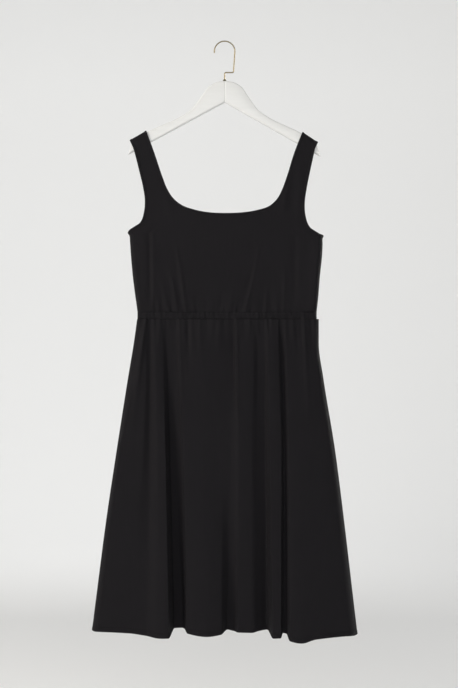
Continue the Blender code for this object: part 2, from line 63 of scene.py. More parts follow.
casing_low, casing_high = box_mm("waist_casing")
ferrule_low, ferrule_high = box_mm("hook_ferrule")
hanger_top = box_mm("hanger_arm_right")[1][2]

FINISHES = {"jersey": "cloth", "lacquered_wood": "wood", "brass_wire": "metal"}  # piece names' endings

# Cloth
WALL = 1.2  # jersey wall
SEAM_HALF = 0.12  # half the gap of two panels at a side or shoulder seam
BAND_WIDTH = 6.5  # neck and armhole bands
BAND_DEPTH = 2.6
BAND_WALL = 0.5
BAND_SINK = 0.7  # the middle of a band's wall lies this far below the panel's outer face
PANEL_INSET = BAND_WIDTH - 1.0  # from the dress's edge to the panel's, inside the band
SEAM_ROUND = 10.0  # reach of the round turn of the cloth at a side seam
SEAM_TURN = 14  # rows or columns of the grids in that turn
SEAM_ROLL = 0.3  # how far a panel is drawn in at the waist seams
ROLL_REACH = 4.0
WAIST_HOLD = 0.5  # part of the skirt's folds that the waist seam takes away
HOLD_REACH = 45.0
END_SHARE = 0.08  # part of an edge over which a band's width turns to lie along the seam at its end

# Waist casing
WAIST_LEFT, WAIST_RIGHT = casing_low[0] + 0.8, casing_high[0] - 1.6  # the elastic pulls the ends in
CASING_BOTTOM, CASING_TOP = casing_low[2], casing_high[2] + 0.3
CASING_DEPTH = (-casing_low[1], casing_high[1])  # front, back
CASING_WALL = 1.8
CASING_STITCHES = (4.0, 12.5)  # two rows, below the top edge
CASING_HOLD = 0.2  # how far they hold it in
CASING_ROUND = 1.2  # reach of the round at its upper and lower edges
CASING_ROLL = 0.15  # how far it is drawn in there
CASING_GATHERS = (0.5, 0.4)  # share of the height of the gathers above and below that crosses it
CASING_PUCKERS = 0.7  # height of its own small puckers, as a share of the others'
CASING_PACE = 0.6  # pace at which they lean and die, as a share of the others'
CASING_GRID = (15, 230)  # rows, and columns on a face
CASING_GAP = 0.2  # between it and the skirt

# The hem is straight, and a little lower on the right
HEM_CENTRE = -1345.3
HEM_SLOPE = -0.015
HEM_STITCH = 8.6  # height of the stitching above the edge
HEM_ROUND = 1.3  # half the distance between the two layers
HEM_LIFT = 0.35  # of the doubled cloth
HEM_GROOVE = 0.45  # depth of the groove that the stitching lies in
HEM_RIPPLE = 0.16

# Shoulder ridges, where the straps turn over the hanger: ends (x, z) at the neck and at the armhole
RIDGE_LEFT = ((-178.5, -202.7), (-216.5, -224.6))
RIDGE_RIGHT = ((177.4, -205.6), (213.0, -229.2))
RIDGE_ROUND = 9.0

# Neck edge (x, z), from the left ridge down, along the front and up to the right ridge
NECK = (
    *(RIDGE_LEFT[0], (-160.5, -252.4), (-142.0, -307.1), (-131.3, -334.5), (-118.0, -356.0)),
    *((-98.0, -372.8), (-68.0, -383.8), (-32.0, -390.2), (3.0, -391.5), (38.0, -390.2)),
    *((74.0, -384.6), (102.0, -375.0), (119.5, -358.5), (131.8, -334.5), (141.8, -307.1)),
    *((158.9, -252.4), RIDGE_RIGHT[0]),
)

# Armhole edges (x, z), from the ridge down to the side seam
ARMHOLE_LEFT = (
    *(RIDGE_LEFT[1], (-207.0, -246.0), (-202.5, -262.0), (-193.5, -298.0), (-185.0, -334.5)),
    *((-181.2, -362.0), (-183.0, -389.0), (-190.0, -411.0), (-201.5, -422.2), (-213.0, -427.8)),
    (-220.8, -435.0),
)
ARMHOLE_RIGHT = (
    *(RIDGE_RIGHT[1], (205.3, -246.0), (202.3, -260.0), (194.0, -298.0), (186.8, -334.5)),
    *((182.2, -368.0), (183.6, -397.0), (190.2, -418.5), (203.8, -434.2), (225.5, -442.0)),
)

# Side seams of the bodice (x, z), from the underarm to the waist
SIDE_LEFT = (
    *(ARMHOLE_LEFT[-1], (-217.0, -442.5), (-215.9, -455.0), (-214.2, -480.0), (-208.8, -540.0)),
    (WAIST_LEFT, CASING_TOP),
)
SIDE_RIGHT = (
    *(ARMHOLE_RIGHT[-1], (223.4, -449.0), (223.6, -460.0), (222.8, -480.0), (216.8, -540.0)),
    *((213.0, -588.0), (WAIST_RIGHT, CASING_TOP)),
)

# Where the straps end and the body of the bodice begins: shares of the neck and armhole edges
NECK_CORNERS = (0.275, 0.725)
STRAP_END = 0.545
STRAP_LENGTH = 145.0  # about
STRAP_FOOT = 0.14  # each strap's share of the width of the body
ARMHOLE_DROP = 110.0  # about, along the armhole from the end of the strap to the underarm
ARMHOLE_SHARE = 0.36  # part of the body's height that runs along the armhole

# Distance of the outer face from the hanger's plane at each height, before the seams close it
BODICE_DEPTH = (
    # height, front, back
    (-200.0, 9.0, 9.0),
    (-310.0, 9.4, 9.2),
    (-390.0, 12.0, 10.5),
    (-460.0, 16.5, 13.0),
    (-550.0, 18.0, 14.0),
    (CASING_TOP, 14.5, 12.4),
)

# Creases of the bodice: soft ridges (or troughs, with a height below 0) from their upper end to
# their lower one. bow is how far the middle stands to the right of the straight line, and the two
# fades are the shares of the length over which the crease comes and goes.
FRONT_CREASES = (
    # name, upper x, upper z, lower x, lower z, bow, width, height, fade above, fade below
    ("left_long_ridge", -164, -395, -161, -618, 1, 4.2, 1.6, 0.3, 0.18),
    ("left_long_hollow", -172, -400, -170, -618, 1, 4, -1.9, 0.3, 0.2),
    ("left_long_shoulder", -155, -420, -154, -600, 0, 8, 1, 0.35, 0.3),
    ("left_slant", -113, -445, -84, -640, 2, 4.4, 2, 0.45, 0.02),
    ("left_slant_shoulder", -104, -460, -75, -640, 2, 8, 0.5, 0.45, 0.02),
    ("left_slant_outer_hollow", -119, -470, -94.5, -640, 1, 4.5, -0.5, 0.45, 0.02),
    ("second_slant", -128, -498, -103.5, -640, 1.5, 4.5, 1.7, 0.45, 0.02),
    ("second_slant_hollow", -136, -510, -112.5, -640, 1, 4.5, -0.5, 0.45, 0.02),
    ("third_slant", -146, -525, -124, -640, 0.5, 4.5, 0.9, 0.45, 0.02),
    ("right_slant", 83.5, -430, 37.5, -640, 5, 4.4, 1.6, 0.5, 0.05),
    ("right_slant_shoulder", 93, -440, 47, -640, 5, 9, 0.8, 0.5, 0.05),
    ("right_slant_inner_hollow", 73, -480, 28, -630, 4, 7, -0.9, 0.5, 0.1),
    ("centre_slant", 24, -560, 6, -640, 1, 5, 0.8, 0.6, 0.05),
    ("right_upright", 96, -540, 94, -640, 0, 3.5, 1.1, 0.45, 0.02),
    ("right_second_upright", 136.5, -495, 134.5, -640, 0, 4.5, 1.3, 0.4, 0.02),
    ("right_second_shoulder", 144, -510, 142, -640, 0, 7, 0.4, 0.4, 0.02),
    ("right_long_ridge", 169.5, -405, 168, -610, -0.5, 4.4, 1.2, 0.3, 0.35),
    ("right_long_hollow", 159.5, -420, 158, -610, -0.5, 7, -1, 0.4, 0.35),
    ("neck_corner_left", -137, -345, -122, -420, 3, 9, 0.9, 0.35, 0.6),
    ("neck_corner_right", 146, -305, 133, -405, -2, 9, 2.4, 0.35, 0.45),
    ("right_long_shoulder", 180, -415, 178, -620, -0.5, 9, 0.9, 0.35, 0.3),
    ("right_side_swell", 217, -438, 206, -628, 0, 21, 5, 0.22, 0.12),
    ("strap_shoulder_right", 173, -270, 166, -405, 1, 9, 1.8, 0.35, 0.35),
    ("underarm_right", 196, -434, 170, -500, -3, 8, 0.9, 0.3, 0.6),
    ("underarm_left", -197, -428, -176, -480, 3, 8, 0.9, 0.3, 0.6),
)
BACK_CREASES = (
    ("left_long_ridge", -158, -420, -154, -630, -1, 5.5, 1.9, 0.35, 0.15),
    ("left_slant", -92, -470, -112, -640, -2, 5.5, 1.8, 0.5, 0.02),
    ("left_slant_hollow", -82, -480, -102, -640, -2, 6, -1.2, 0.5, 0.02),
    ("centre_hollow", -8, -500, -4, -640, 0, 9, -0.9, 0.5, 0.05),
    ("right_slant", 71, -455, 97, -640, 3, 5.5, 2.1, 0.5, 0.02),
    ("right_slant_hollow", 61, -475, 86, -640, 3, 6, -1.2, 0.5, 0.02),
    ("right_upright", 148, -480, 151, -640, 0, 5, 1.4, 0.4, 0.02),
    ("right_long_ridge", 181, -440, 177, -610, 0, 5.5, 1.2, 0.4, 0.3),
)

# Gathers at the waist seams: bells across that widen and die away from the seam
BODICE_GATHERS = (
    # x at the seam, lean (x for each mm from the seam), width, length, height
    (-156, -0.1, 3.6, 62, -1.6),
    (-148.5, -0.08, 3.2, 55, 1.2),
    (-140.5, -0.1, 3.4, 58, -1.3),
    (-117.5, -0.18, 3.6, 75, -0.7),
    (-94.5, -0.16, 3.4, 90, -0.8),
    (-70, -0.05, 3.4, 52, 1),
    (-62.5, -0.04, 3.4, 50, -0.7),
    (-42.5, 0.05, 3.4, 46, -1),
    (-28, 0.05, 3.6, 44, 0.9),
    (-10.5, 0.1, 3.4, 60, -1.2),
    (7.8, 0.16, 3.4, 66, 1),
    (18, 0.16, 3.4, 60, -0.9),
    (28.3, 0.2, 3.2, 50, -1.1),
    (60, 0.08, 3.6, 50, -1.1),
    (73.9, 0.02, 3.4, 55, 1),
    (86, 0.02, 3.4, 60, -1.1),
    (105, 0.02, 3.6, 64, -1),
    (117.2, 0.02, 3.4, 48, 1),
    (126, 0.02, 3.4, 70, -0.7),
    (156, 0.02, 4, 52, -1),
)
SKIRT_GATHERS = (
    (-189, -0.15, 4, 260, -2.4),
    (-179, -0.12, 4, 330, 3.2),
    (-156, 0, 3.4, 90, -2),
    (-146.5, 0, 3.6, 70, 1.6),
    (-102, 0.02, 3.4, 260, 1.6),
    (-94, 0.02, 3.2, 80, 1.2),
    (-83.4, 0.02, 3.8, 150, -3.4),
    (-74, 0, 3.6, 90, 1.6),
    (-56, 0, 4.6, 120, 2.4),
    (-40, 0, 3.6, 60, -2),
    (-28.5, 0, 3.8, 60, 1.8),
    (-12.5, 0, 4, 90, 2.2),
    (0.5, 0, 3.6, 70, -0.9),
    (8, 0, 3.4, 60, 1),
    (26.5, 0.01, 3.2, 330, 1.9),
    (44, 0, 3.6, 60, -1.6),
    (56, 0, 3.4, 70, 1.6),
    (74, 0.02, 3.4, 70, 1.8),
    (101, 0.02, 3.2, 60, -1.6),
    (106, 0.02, 3.4, 60, 1.4),
    (144.6, 0.03, 3.8, 80, -2.2),
    (154, 0.03, 3.4, 70, 1.8),
    (162.5, 0.05, 3.8, 120, -2.2),
    (171.5, 0.06, 3, 70, -2.2),
    (180, 0.04, 3.6, 270, 3),
    (195, 0.08, 4, 100, -2.4),
    (204, 0.04, 3.6, 70, 1.6),
)
BACK_GATHERS = 0.8  # height of the back's gathers, as a share of the front's
# How much wider a gather is where it dies, as a share of its width at the seam
BODICE_SPREAD = 0.6
SKIRT_SPREAD = 1.2

# Small puckers between the gathers
PUCKER_SPACING = 6.5
PUCKER_HEIGHT = 0.9
PUCKERS = {
    # seed of the random numbers, length of the longest, spread
    "bodice_front": (5, 26.0, 0.5),
    "bodice_back": (11, 26.0, 0.5),
    "casing_front": (17, 60.0, 0.2),
    "casing_back": (23, 60.0, 0.2),
    "skirt_front": (31, 38.0, SKIRT_SPREAD),
    "skirt_back": (37, 38.0, SKIRT_SPREAD),
}

# Side edges of the skirt at each height
SKIRT_SIDES = (
    # height, left, right
    (CASING_BOTTOM, -199.4, 214.6),
    (-686, -206.9, 214.6),
    (-768, -220.4, 225.4),
    (-932, -246, 252.2),
    (-1096, -270.4, 273.2),
    (-1260, -291.5, 292.6),
    (-1350, -302.8, 303.4),
)

# The skirt's ridges and troughs, from left to right, by their sections at these heights
FOLD_HEIGHTS = (CASING_BOTTOM, -715.0, -930.0, -1346.0)
FRONT_FOLDS = (
    # name, x and y at the waist, high, in the middle and at the hem, how much lower the hem hangs
    ("left_edge", -199, -15, -206, -14, -246, -13, -303, -12, -0.5),
    ("left_panel", -190, -16, -194, -20, -236, -21, -286, -19, -1),
    ("outer_trough_edge", -179, -16, -179, -19, -186, -22, -216, -22, 0.5),
    ("outer_trough", -169, -13, -168, -15.5, -170, -18, -180, -24, 4.5),
    ("left_ridge", -158, -17, -157, -23, -150, -31, -148, -36, 7.5),
    ("left_ridge_flank", -143, -16, -140, -20, -134, -31, -125, -39, 6),
    ("deep_trough", -132, -14, -129, -14, -123, -10, -114, 0, -7),
    ("deep_trough_floor", -128, -14, -124, -14, -111, -11, -97, 0, -8),
    ("inner_trough", -112, -14, -109, -15, -100, -17, -92, -3, -7),
    ("inner_ridge", -102, -17, -100, -22, -92, -26, -84, -26, -2),
    ("broad_ridge", -55, -18, -54, -23, -48, -27, -41, -31, 3.5),
    ("broad_ridge_flank", -19, -17, -17, -21, -10, -25, -8, -26, -0.5),
    ("centre_trough", 10, -15, 11, -18, 12, -25, 7, -2, -6),
    ("centre_trough_side", 20, -14, 21, -17, 22, -27, 20, -3, -3.5),
    ("centre_ridge", 28, -19, 28, -27, 33, -31, 31, -15, -3),
    ("centre_ridge_flank", 62, -18, 64, -25, 60, -29, 61, -16, -3),
    ("right_trough", 74, -16, 76, -20, 76, -23, 80, -8, -6),
    ("right_trough_floor", 88, -15, 90, -20, 92, -19.5, 97, -1, -7),
    ("narrow_ridge", 97, -19, 98, -28, 102, -37, 109, -38, 3),
    ("narrow_ridge_flank", 120, -18, 122, -25, 127, -35, 126, -39, 2),
    ("narrow_trough", 126, -14, 129, -16, 133, -25, 132, -27, -7),
    ("narrow_trough_floor", 130, -14, 132, -16, 137, -25, 139.5, -26, -5),
    ("right_ridge_flank", 138, -17, 140, -23, 144, -34, 146, -43, 7),
    ("right_ridge", 152, -16, 155, -22, 163, -34, 172, -46, 11),
    ("right_slope", 180, -15, 183, -21, 196, -32, 206, -44, 2),
    ("right_panel", 201, -15, 205, -18, 238, -27, 282, -34, -4),
    ("right_edge", 214, -15, 217, -14, 252, -13, 303, -12, -1),
)
BACK_FOLDS = (
    ("left_edge", -199, 13, -209, 12, -244, 12, -303, 12, 0),
    ("left_panel", -184, 14, -190, 17, -216, 19, -256, 22, 0),
    ("left_ridge", -160, 16, -165, 22, -182, 31, -211, 42, 3),
    ("left_trough", -136, 12, -140, 14, -151, 21, -170, 30, -2),
    ("second_ridge", -108, 16, -110, 22, -117, 33, -128, 45, 4),
    ("second_trough", -80, 12, -81, 16, -84, 25, -88, 36, -3),
    ("third_ridge", -48, 17, -48, 23, -48, 34, -48, 46, 2),
    ("centre_trough", -20, 13, -18, 16, -15, 25, -8, 36, -3),
    ("fourth_ridge", 14, 16, 17, 22, 23, 33, 34, 44, 2),
    ("fourth_trough", 44, 12, 48, 15, 59, 24, 78, 34, -3),
    ("fifth_ridge", 76, 17, 80, 23, 92, 35, 112, 47, 4),
    ("fifth_trough", 104, 12, 109, 15, 124, 22, 150, 31, -2),
    ("right_ridge", 136, 16, 142, 22, 159, 31, 190, 41, 3),
    ("right_trough", 162, 13, 169, 15, 189, 20, 224, 27, -1),
    ("right_panel", 190, 14, 198, 15, 221, 17, 262, 20, 0),
    ("right_edge", 214, 13, 220, 12, 252, 12, 303, 12, 0),
)

# Hanger: sizes are from the middle of its top
HANGER_MIDDLE = (1.2, hanger_top)
HANGER_TILT = math.radians(0.6)  # the right arm hangs lower
ARM_THICKNESS = 12.0
ARM_ROUND = 4.5
ARM_UNDERSIDE = -49.5  # height of the underside at the middle
ARM_SLOPE = -0.5527  # the underside is straight
ARM_TIP = 5.0  # reach of the round tip
TIP_SHARE = 0.9  # part of the height's square that the tip's round takes away
JOINT_START = (0.2, 0.4, 0.8)  # first sections beside the joint
JOINT_EASE = (0.6, 0.7)  # how far the edges are eased there, in half the thickness and in height
JOINT_REACH = 0.5
ARM_AROUND = 40
ARM_TOP = (
    # distance from the middle, height
    *((0, 0), (15.7, -2), (36.4, -12.6), (56.1, -39.6), (75.7, -64.8)),
    *((107.9, -86.5), (140.4, -101.4), (169.3, -114.6), (208, -140.5), (219, -167)),
)

# Hook
WIRE_RADIUS = 1.4
HOOK_RADIUS = 23.4  # to the middle of the wire
HOOK_DROP = 3.6  # straight end of the hook below its round
JOG_HEIGHT = 70.2  # height of the cranked stretch, below the hook's rest
JOG_REACH = 20.4  # to the crank's corner, from where the wire leans out to the round
JOG_ROUND = 3.5
FERRULE_PROFILE = (
    # share of the radius, share of the height
    *((0.90, 0.00), (0.98, 0.06), (1.00, 0.18), (0.96, 0.32), (0.80, 0.42)),
    *((0.66, 0.48), (0.60, 0.60), (0.60, 0.84), (0.56, 0.95), (0.48, 1.00)),
)

# Stitches
STITCH_LENGTH = 2.6
STITCH_GAP = 0.7
STITCH_WIDTH = 0.32
STITCH_GRID = (5, 6)  # rings, points of a ring
STITCH_ENDS = ((0, 1, 2, 3), (0, 3, 4, 5), (24, 27, 26, 25), (24, 29, 28, 27))  # quads that close it

# Camera and floor, in metres
CAMERA = (0.010, -2.4, -0.689)
HALF_VIEW = 0.3268  # half the height of the view at 1 m
FLOOR_HEIGHT = -1.78
FLOOR_RADII = (0.0, 1.6, 3.0)  # of its flat rings
COVE_RADIUS = 7.0
COVE_RISE = 3.4
WALL_TOP = 5.0  # above the floor
LIGHTS = (
    # name, place, target, size, power, colour, spread in degrees
    ("key", (-3.0, -1.8, 0.8), (0.0, 0.0, -0.7), 1.4, 97.0, "fffaf2", 180.0),
    ("front", (0.0, -3.4, -0.2), (0.0, 0.0, -0.7), 2.0, 20.0, "f8fbff", 180.0),
    ("right", (3.0, 0.4, -0.6), (0.0, 0.0, -0.7), 1.2, 9.0, "ffffff", 180.0),
    ("back", (-0.6, 2.0, 1.1), (-0.5, 7.0, 0.7), 2.4, 60.0, "ffffff", 180.0),
    ("rear", (3.0, 2.0, 0.8), (0.0, 0.0, -0.5), 1.2, 6.0, "fffaf2", 45.0),
)


# Curves and surfaces


def hermite(knots, values, slopes, at):
    """The cubic curve through the values at the knots with these slopes, at the points in at."""
    i = np.clip(np.searchsorted(knots, at, side="right") - 1, 0, len(knots) - 2)
    span = knots[i + 1] - knots[i]
    f = (at - knots[i]) / span
    left = values[i] * (1 + 2 * f) * (1 - f) ** 2 + slopes[i] * span * f * (1 - f) ** 2
    right = values[i + 1] * f * f * (3 - 2 * f) - slopes[i + 1] * span * f * f * (1 - f)
    return left + right


def steady(knots, values, at):
    """A smooth curve that keeps the values as its highest and lowest points, as a fold does.

    It is a cubic between knots. Its slope at a knot is the harmonic mean of the slopes of the two
    straight lines there, or 0 where they differ in sign.
    """
    knots, values = np.asarray(knots, float), np.asarray(values, float)
    rise = np.diff(values) / np.diff(knots)
    before, after = rise[:-1], rise[1:]
    same = before * after > 0
    inner = np.where(same, 2 * before * after / np.where(same, before + after, 1.0), 0.0)
    slopes = np.concatenate([rise[:1], inner, rise[-1:]])
    return hermite(knots, values, slopes, at)


def outline(points, shares):
    """Points (x, z) at shares of the length of the smooth curve through the given ones."""
    points = np.asarray(points, float)
    reach = lengths_along(points, 0)
    knots = reach / reach[-1]
    slopes = np.gradient(points, knots, axis=0)
    return stacked(*(hermite(knots, points[:, k], slopes[:, k], shares) for k in (0, 1)))


def stacked(*parts):
    """The parts side by side as the last axis, each spread to the shape of them all."""
    return np.stack(np.broadcast_arrays(*parts), axis=-1)


def unit(vectors):
    """Each vector divided by its length."""
    return vectors / np.linalg.norm(vectors, axis=-1, keepdims=True)


def smooth(share):
    """0 to 1 with level ends: three squares less two cubes."""
    share = np.clip(share, 0, 1)
    return share * share * (3 - 2 * share)


def closing(distance, reach):
    """0 at a fold or seam and 1 beyond its reach, as a quarter of an ellipse."""
    return np.sqrt(1 - (1 - np.clip(distance / reach, 0, 1)) ** 2)


def bell(distance, width):
    """1 at no distance, and from there e to the power of minus the square of distance over width."""
    return np.exp(-((distance / width) ** 2))


def full_turn(count):
    """Equal angles all round, in radians."""
    return np.linspace(0, 2 * math.pi, count, endpoint=False)


def turn_shares(count):
    """Shares of the reach of a round turn, at equal angles: one less the cosine."""
    return 1 - np.cos(np.linspace(0, math.pi / 2, count))


def inset_edge(points, shares, width, side, first_way, last_way):
    """The edge line moved into the cloth by width. At its ends it moves along first_way and last_way."""
    step = 0.002
    ahead, behind = np.minimum(shares + step, 1), np.maximum(shares - step, 0)
    along = outline(points, ahead) - outline(points, behind)
    way = side * unit(stacked(-along[:, 1], along[:, 0]))
    first = np.clip(1 - shares / END_SHARE, 0, 1)[:, None]
    last = np.clip(1 - (1 - shares) / END_SHARE, 0, 1)[:, None]
    way = way * (1 - first) * (1 - last) + unit(first_way) * first + unit(last_way) * last
    return outline(points, shares) + width * unit(way)


def between(start, end):
    """The way from the start to the end: the end less the start."""
    return np.subtract(end, start).astype(float)


def neck_line(shares, width):
    """The neck edge moved into the cloth by width, along the shoulder ridges at its ends."""
    ways = (between(*RIDGE_LEFT), between(*RIDGE_RIGHT))
    return inset_edge(NECK, shares, width, -1, *ways)


def side_length(left):
    """Length of a side seam of the bodice, as the sum of the distances between its points."""
    return lengths_along(SIDE_LEFT if left else SIDE_RIGHT, 0)[-1]


def side_seam(left, reaches):
    """Points (x, z) of the bodice's side seam at these distances along it from the underarm."""
    return outline(SIDE_LEFT if left else SIDE_RIGHT, reaches / side_length(left))


def armhole_line(left, shares, width):
    """The armhole edge moved into the cloth by width: along the shoulder ridge at its upper end, and
    down the side seam at its lower one."""
    ridge, edge = (RIDGE_LEFT, ARMHOLE_LEFT) if left else (RIDGE_RIGHT, ARMHOLE_RIGHT)
    ways = (between(*reversed(ridge)), between(*side_seam(left, np.array([0.0, PANEL_INSET]))))
    return inset_edge(edge, shares, width, 1 if left else -1, *ways)


def distance_to(line, points):
    """Distance of each point (x, z) to a line of straight stretches."""
    nearest = np.full(points.shape[:-1], np.inf)
    for start, end in zip(line[:-1], line[1:]):
        way = between(start, end)
        share = np.clip((points - start) @ way / (way @ way), 0, 1)
        foot = np.asarray(start) + share[..., None] * way
        nearest = np.minimum(nearest, np.linalg.norm(points - foot, axis=-1))
    return nearest


def crease_height(x, z, creases):
    """Height of the creases over points of the front view: across its line each is a bell."""
    height = np.zeros_like(x)
    for _, x0, z0, x1, z1, bow, width, rise, above, below in creases:
        share = (z - z0) / (z1 - z0)
        middle = x0 + (x1 - x0) * share + 4 * bow * share * (1 - share)
        swell = smooth(share / above) * smooth((1 - share) / below)
        height += rise * swell * bell(x - middle, width)
    return height


def gather_height(x, away, gathers, spread):
    """Height of the gathers: bells across that widen by spread and die along their length."""
    height = np.zeros_like(x)
    for at, lean, width, length, rise in gathers:
        share = np.clip(away / length, 0, 1)
        middle = at + lean * away
        height += rise * smooth(1 - share) * bell(x - middle, width * (1 + spread * share))
    return height


def small_puckers(place):
    """Rows of a table of gathers for the small puckers of the whole waist, uneven in every size."""
    seed, longest, _ = PUCKERS[place]
    rng = np.random.default_rng(seed)
    at = np.arange(WAIST_LEFT + 8, WAIST_RIGHT - 8, PUCKER_SPACING)
    at = at + rng.uniform(-0.35, 0.35, len(at)) * PUCKER_SPACING
    lean = rng.uniform(-0.08, 0.08, len(at))
    width = rng.uniform(0.22, 0.36, len(at)) * PUCKER_SPACING
    length = rng.uniform(0.3, 1.0, len(at)) * longest
    rise = rng.uniform(0.3, 1.0, len(at)) * PUCKER_HEIGHT * rng.choice([-1, 1], len(at))
    return stacked(at, lean, width, length, rise)


def drawn_in(away):
    """How far the cloth is drawn in next to a waist seam: a quarter round."""
    return SEAM_ROLL * (1 - closing(away, ROLL_REACH))


def bodice_surface(points, back, gap):
    """Points (x, y, z) on the outer face of the bodice over points (x, z) of its front view.

    The depth is the table's at that height, closed round to the side seams and to the shoulder
    ridges, with the creases and gathers added where the cloth is open.
    """
    x, z = points[..., 0], points[..., 1]
    heights, front_depth, back_depth = np.array(BODICE_DEPTH)[::-1].T
    depth = steady(heights, back_depth if back else front_depth, z)
    seams = [side_seam(left, np.linspace(0, side_length(left), 121)) for left in (True, False)]
    sides = np.minimum(*(distance_to(seam, points) for seam in seams))
    ridges = np.minimum(distance_to(RIDGE_LEFT, points), distance_to(RIDGE_RIGHT, points))
    above = z - CASING_TOP
    name = "bodice_back" if back else "bodice_front"
    gathers = mirrored(BODICE_GATHERS) if back else BODICE_GATHERS
    depth = depth + crease_height(x, z, BACK_CREASES if back else FRONT_CREASES) - drawn_in(above)
    depth = depth + gather_height(x, above, gathers, BODICE_SPREAD)
    depth = depth + gather_height(x, above, small_puckers(name), PUCKERS[name][-1])
    depth = depth * closing(sides, SEAM_ROUND) * closing(ridges, RIDGE_ROUND)
    depth = np.maximum(depth, gap)
    return stacked(x, depth if back else -depth, z)


def mirrored(gathers):
    """The same gathers with left and right changed, a little smaller, for the back."""
    middle = WAIST_LEFT + WAIST_RIGHT
    return [
        (middle - at, -lean, width, length, BACK_GATHERS * rise) for at, lean, width, length, rise in gathers
    ]


def skirt_side(height, column):
    """x of the left (1) or right (2) edge of the skirt at each height."""
    table = np.array(SKIRT_SIDES)[::-1]
    return steady(table[:, 0], table[:, column], height)


def fold_places(folds):
    """Each fold's places (x, y), from the waist down."""
    return np.array([fold[1:-1] for fold in folds], float).reshape(len(folds), -1, 2)


def skirt_surface(folds, gathers, columns, rows):
    """Points (x, y, z) on the outer face of a skirt panel.

    columns are fold numbers and rows are shares of the height. Each fold's line runs smoothly through
    its four places. Each row is a section: a steady curve through the lines at that level, plus the
    gathers, closed round to the side seams. The seam at the waist holds the folds flatter, and each
    fold's drop grows evenly from the waist to the hem.
    """
    places = fold_places(folds)[:, ::-1]
    drops = [fold[-1] for fold in folds]
    heights = np.array(FOLD_HEIGHTS)[::-1]
    out = np.sign(places[0, 0, 1])
    held = out * CASING_DEPTH[int(out > 0)]
    down = rows * (CASING_BOTTOM - HEM_CENTRE)
    levels = CASING_BOTTOM - CASING_GAP - down
    across, depths = (np.array([steady(heights, line[:, k], levels) for line in places]) for k in (0, 1))
    across[0], across[-1] = skirt_side(levels, 1), skirt_side(levels, 2)
    sections = []
    for row in range(len(rows)):
        line, level, away = across[:, row], levels[row], down[row]
        x = np.interp(columns, np.arange(len(folds)), line)
        y = steady(line, depths[:, row], x)
        y = y + out * (gather_height(x, away, gathers, SKIRT_SPREAD) - drawn_in(away))
        y = held + (y - held) * (1 - WAIST_HOLD * (1 - smooth(away / HOLD_REACH)))
        edge = np.minimum(x - line[0], line[-1] - x)
        y = y * closing(edge, SEAM_ROUND)
        y = np.where(edge < SEAM_ROUND, out * np.maximum(out * y, SEAM_HALF), y)
        z = level + rows[row] * (HEM_SLOPE * x - steady(line, drops, x))
        sections.append(stacked(x, y, z))
    return np.stack(sections, axis=1)


# Meshes

MERGE_DISTANCE = 0.002  # points closer than this are one


def grid_quads(columns, rows, ring_columns=False, ring_rows=False):
    """The quads of a grid of points, as an array of four point numbers each. A ring also joins its ends."""
    u, v = np.meshgrid(
        np.arange(columns if ring_columns else columns - 1),
        np.arange(rows if ring_rows else rows - 1),
        indexing="ij",
    )
    u, v = u.ravel(), v.ravel()
    next_u, next_v = (u + 1) % columns, (v + 1) % rows
    return stacked(u * rows + v, next_u * rows + v, next_u * rows + next_v, u * rows + next_v)


def lengths_along(points, axis):
    """Distance along each line of a grid, from its first point."""
    steps = np.linalg.norm(np.diff(points, axis=axis), axis=-1)
    start = np.zeros_like(np.take(steps, [0], axis=axis))
    return np.concatenate([start, np.cumsum(steps, axis=axis)], axis=axis)


def grid_normals(points):
    """Unit normals of a grid, from the differences along both its ways, away from the hanger's plane."""
    normals = unit(np.cross(np.gradient(points, axis=0), np.gradient(points, axis=1)))
    return normals if (normals[..., 1] * points[..., 1]).sum() > 0 else -normals


def mesh_of(name, points, quads, uv=None):
    """A mesh of these points in millimetres. uv gives each point's place on the cloth in metres."""
    mesh = bpy.data.meshes.new(name)
    points = np.asarray(points, float).reshape(-1, 3) * MM
    mesh.from_pydata(points, [], quads)
    if uv is not None:
        layer = mesh.uv_layers.new(name="cloth")
        layer.data.foreach_set("uv", uv.reshape(-1, 2)[quads.ravel()].astype(np.float32).ravel())
    mesh.shade_smooth()
    return mesh


def join(parts):
    """Several (points, quads, uv) as one."""
    points = np.concatenate([part[0].reshape(-1, 3) for part in parts])
    counts = np.cumsum([0] + [part[0].reshape(-1, 3).shape[0] for part in parts])
    quads = np.concatenate([part[1] + first for part, first in zip(parts, counts)])
    uv = np.concatenate([part[2].reshape(-1, 2) for part in parts])
    return points, quads, uv


def finish_mesh(mesh, merge=False):
    """Turns the faces out, away from the hanger's plane, and with merge joins the points that meet.

    The sum over the faces is the volume of a closed body, so its sign tells in from out there too.
    """
    work = bmesh.new()
    work.from_mesh(mesh)
    if merge:
        bmesh.ops.remove_doubles(work, verts=work.verts, dist=MERGE_DISTANCE * MM)
    bmesh.ops.recalc_face_normals(work, faces=work.faces)
    if sum(face.normal.y * face.calc_center_median().y * face.calc_area() for face in work.faces) < 0:
        bmesh.ops.reverse_faces(work, faces=work.faces)
    work.to_mesh(mesh)
    work.free()


def new_object(name, data, place=(0, 0, 0), turn=(0, 0, 0)):
    """An object of the data, in the scene. turn is in radians about X, Y and Z."""
    made = bpy.data.objects.new(name, data)
    made.location, made.rotation_euler = place, turn
    bpy.context.scene.collection.objects.link(made)
    return made


def new_piece(name, mesh, material, node=None, slot="jersey"):
    """An object of the mesh that rides on the part's one body, in place of its node."""
    name = f"{name}_{FINISHES[slot]}" if node else name
    mesh.name = name
    mesh.materials.append(material)
    piece = new_object(name, mesh)
    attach(piece, "root")
    if node:
        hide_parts(node)
    return piece


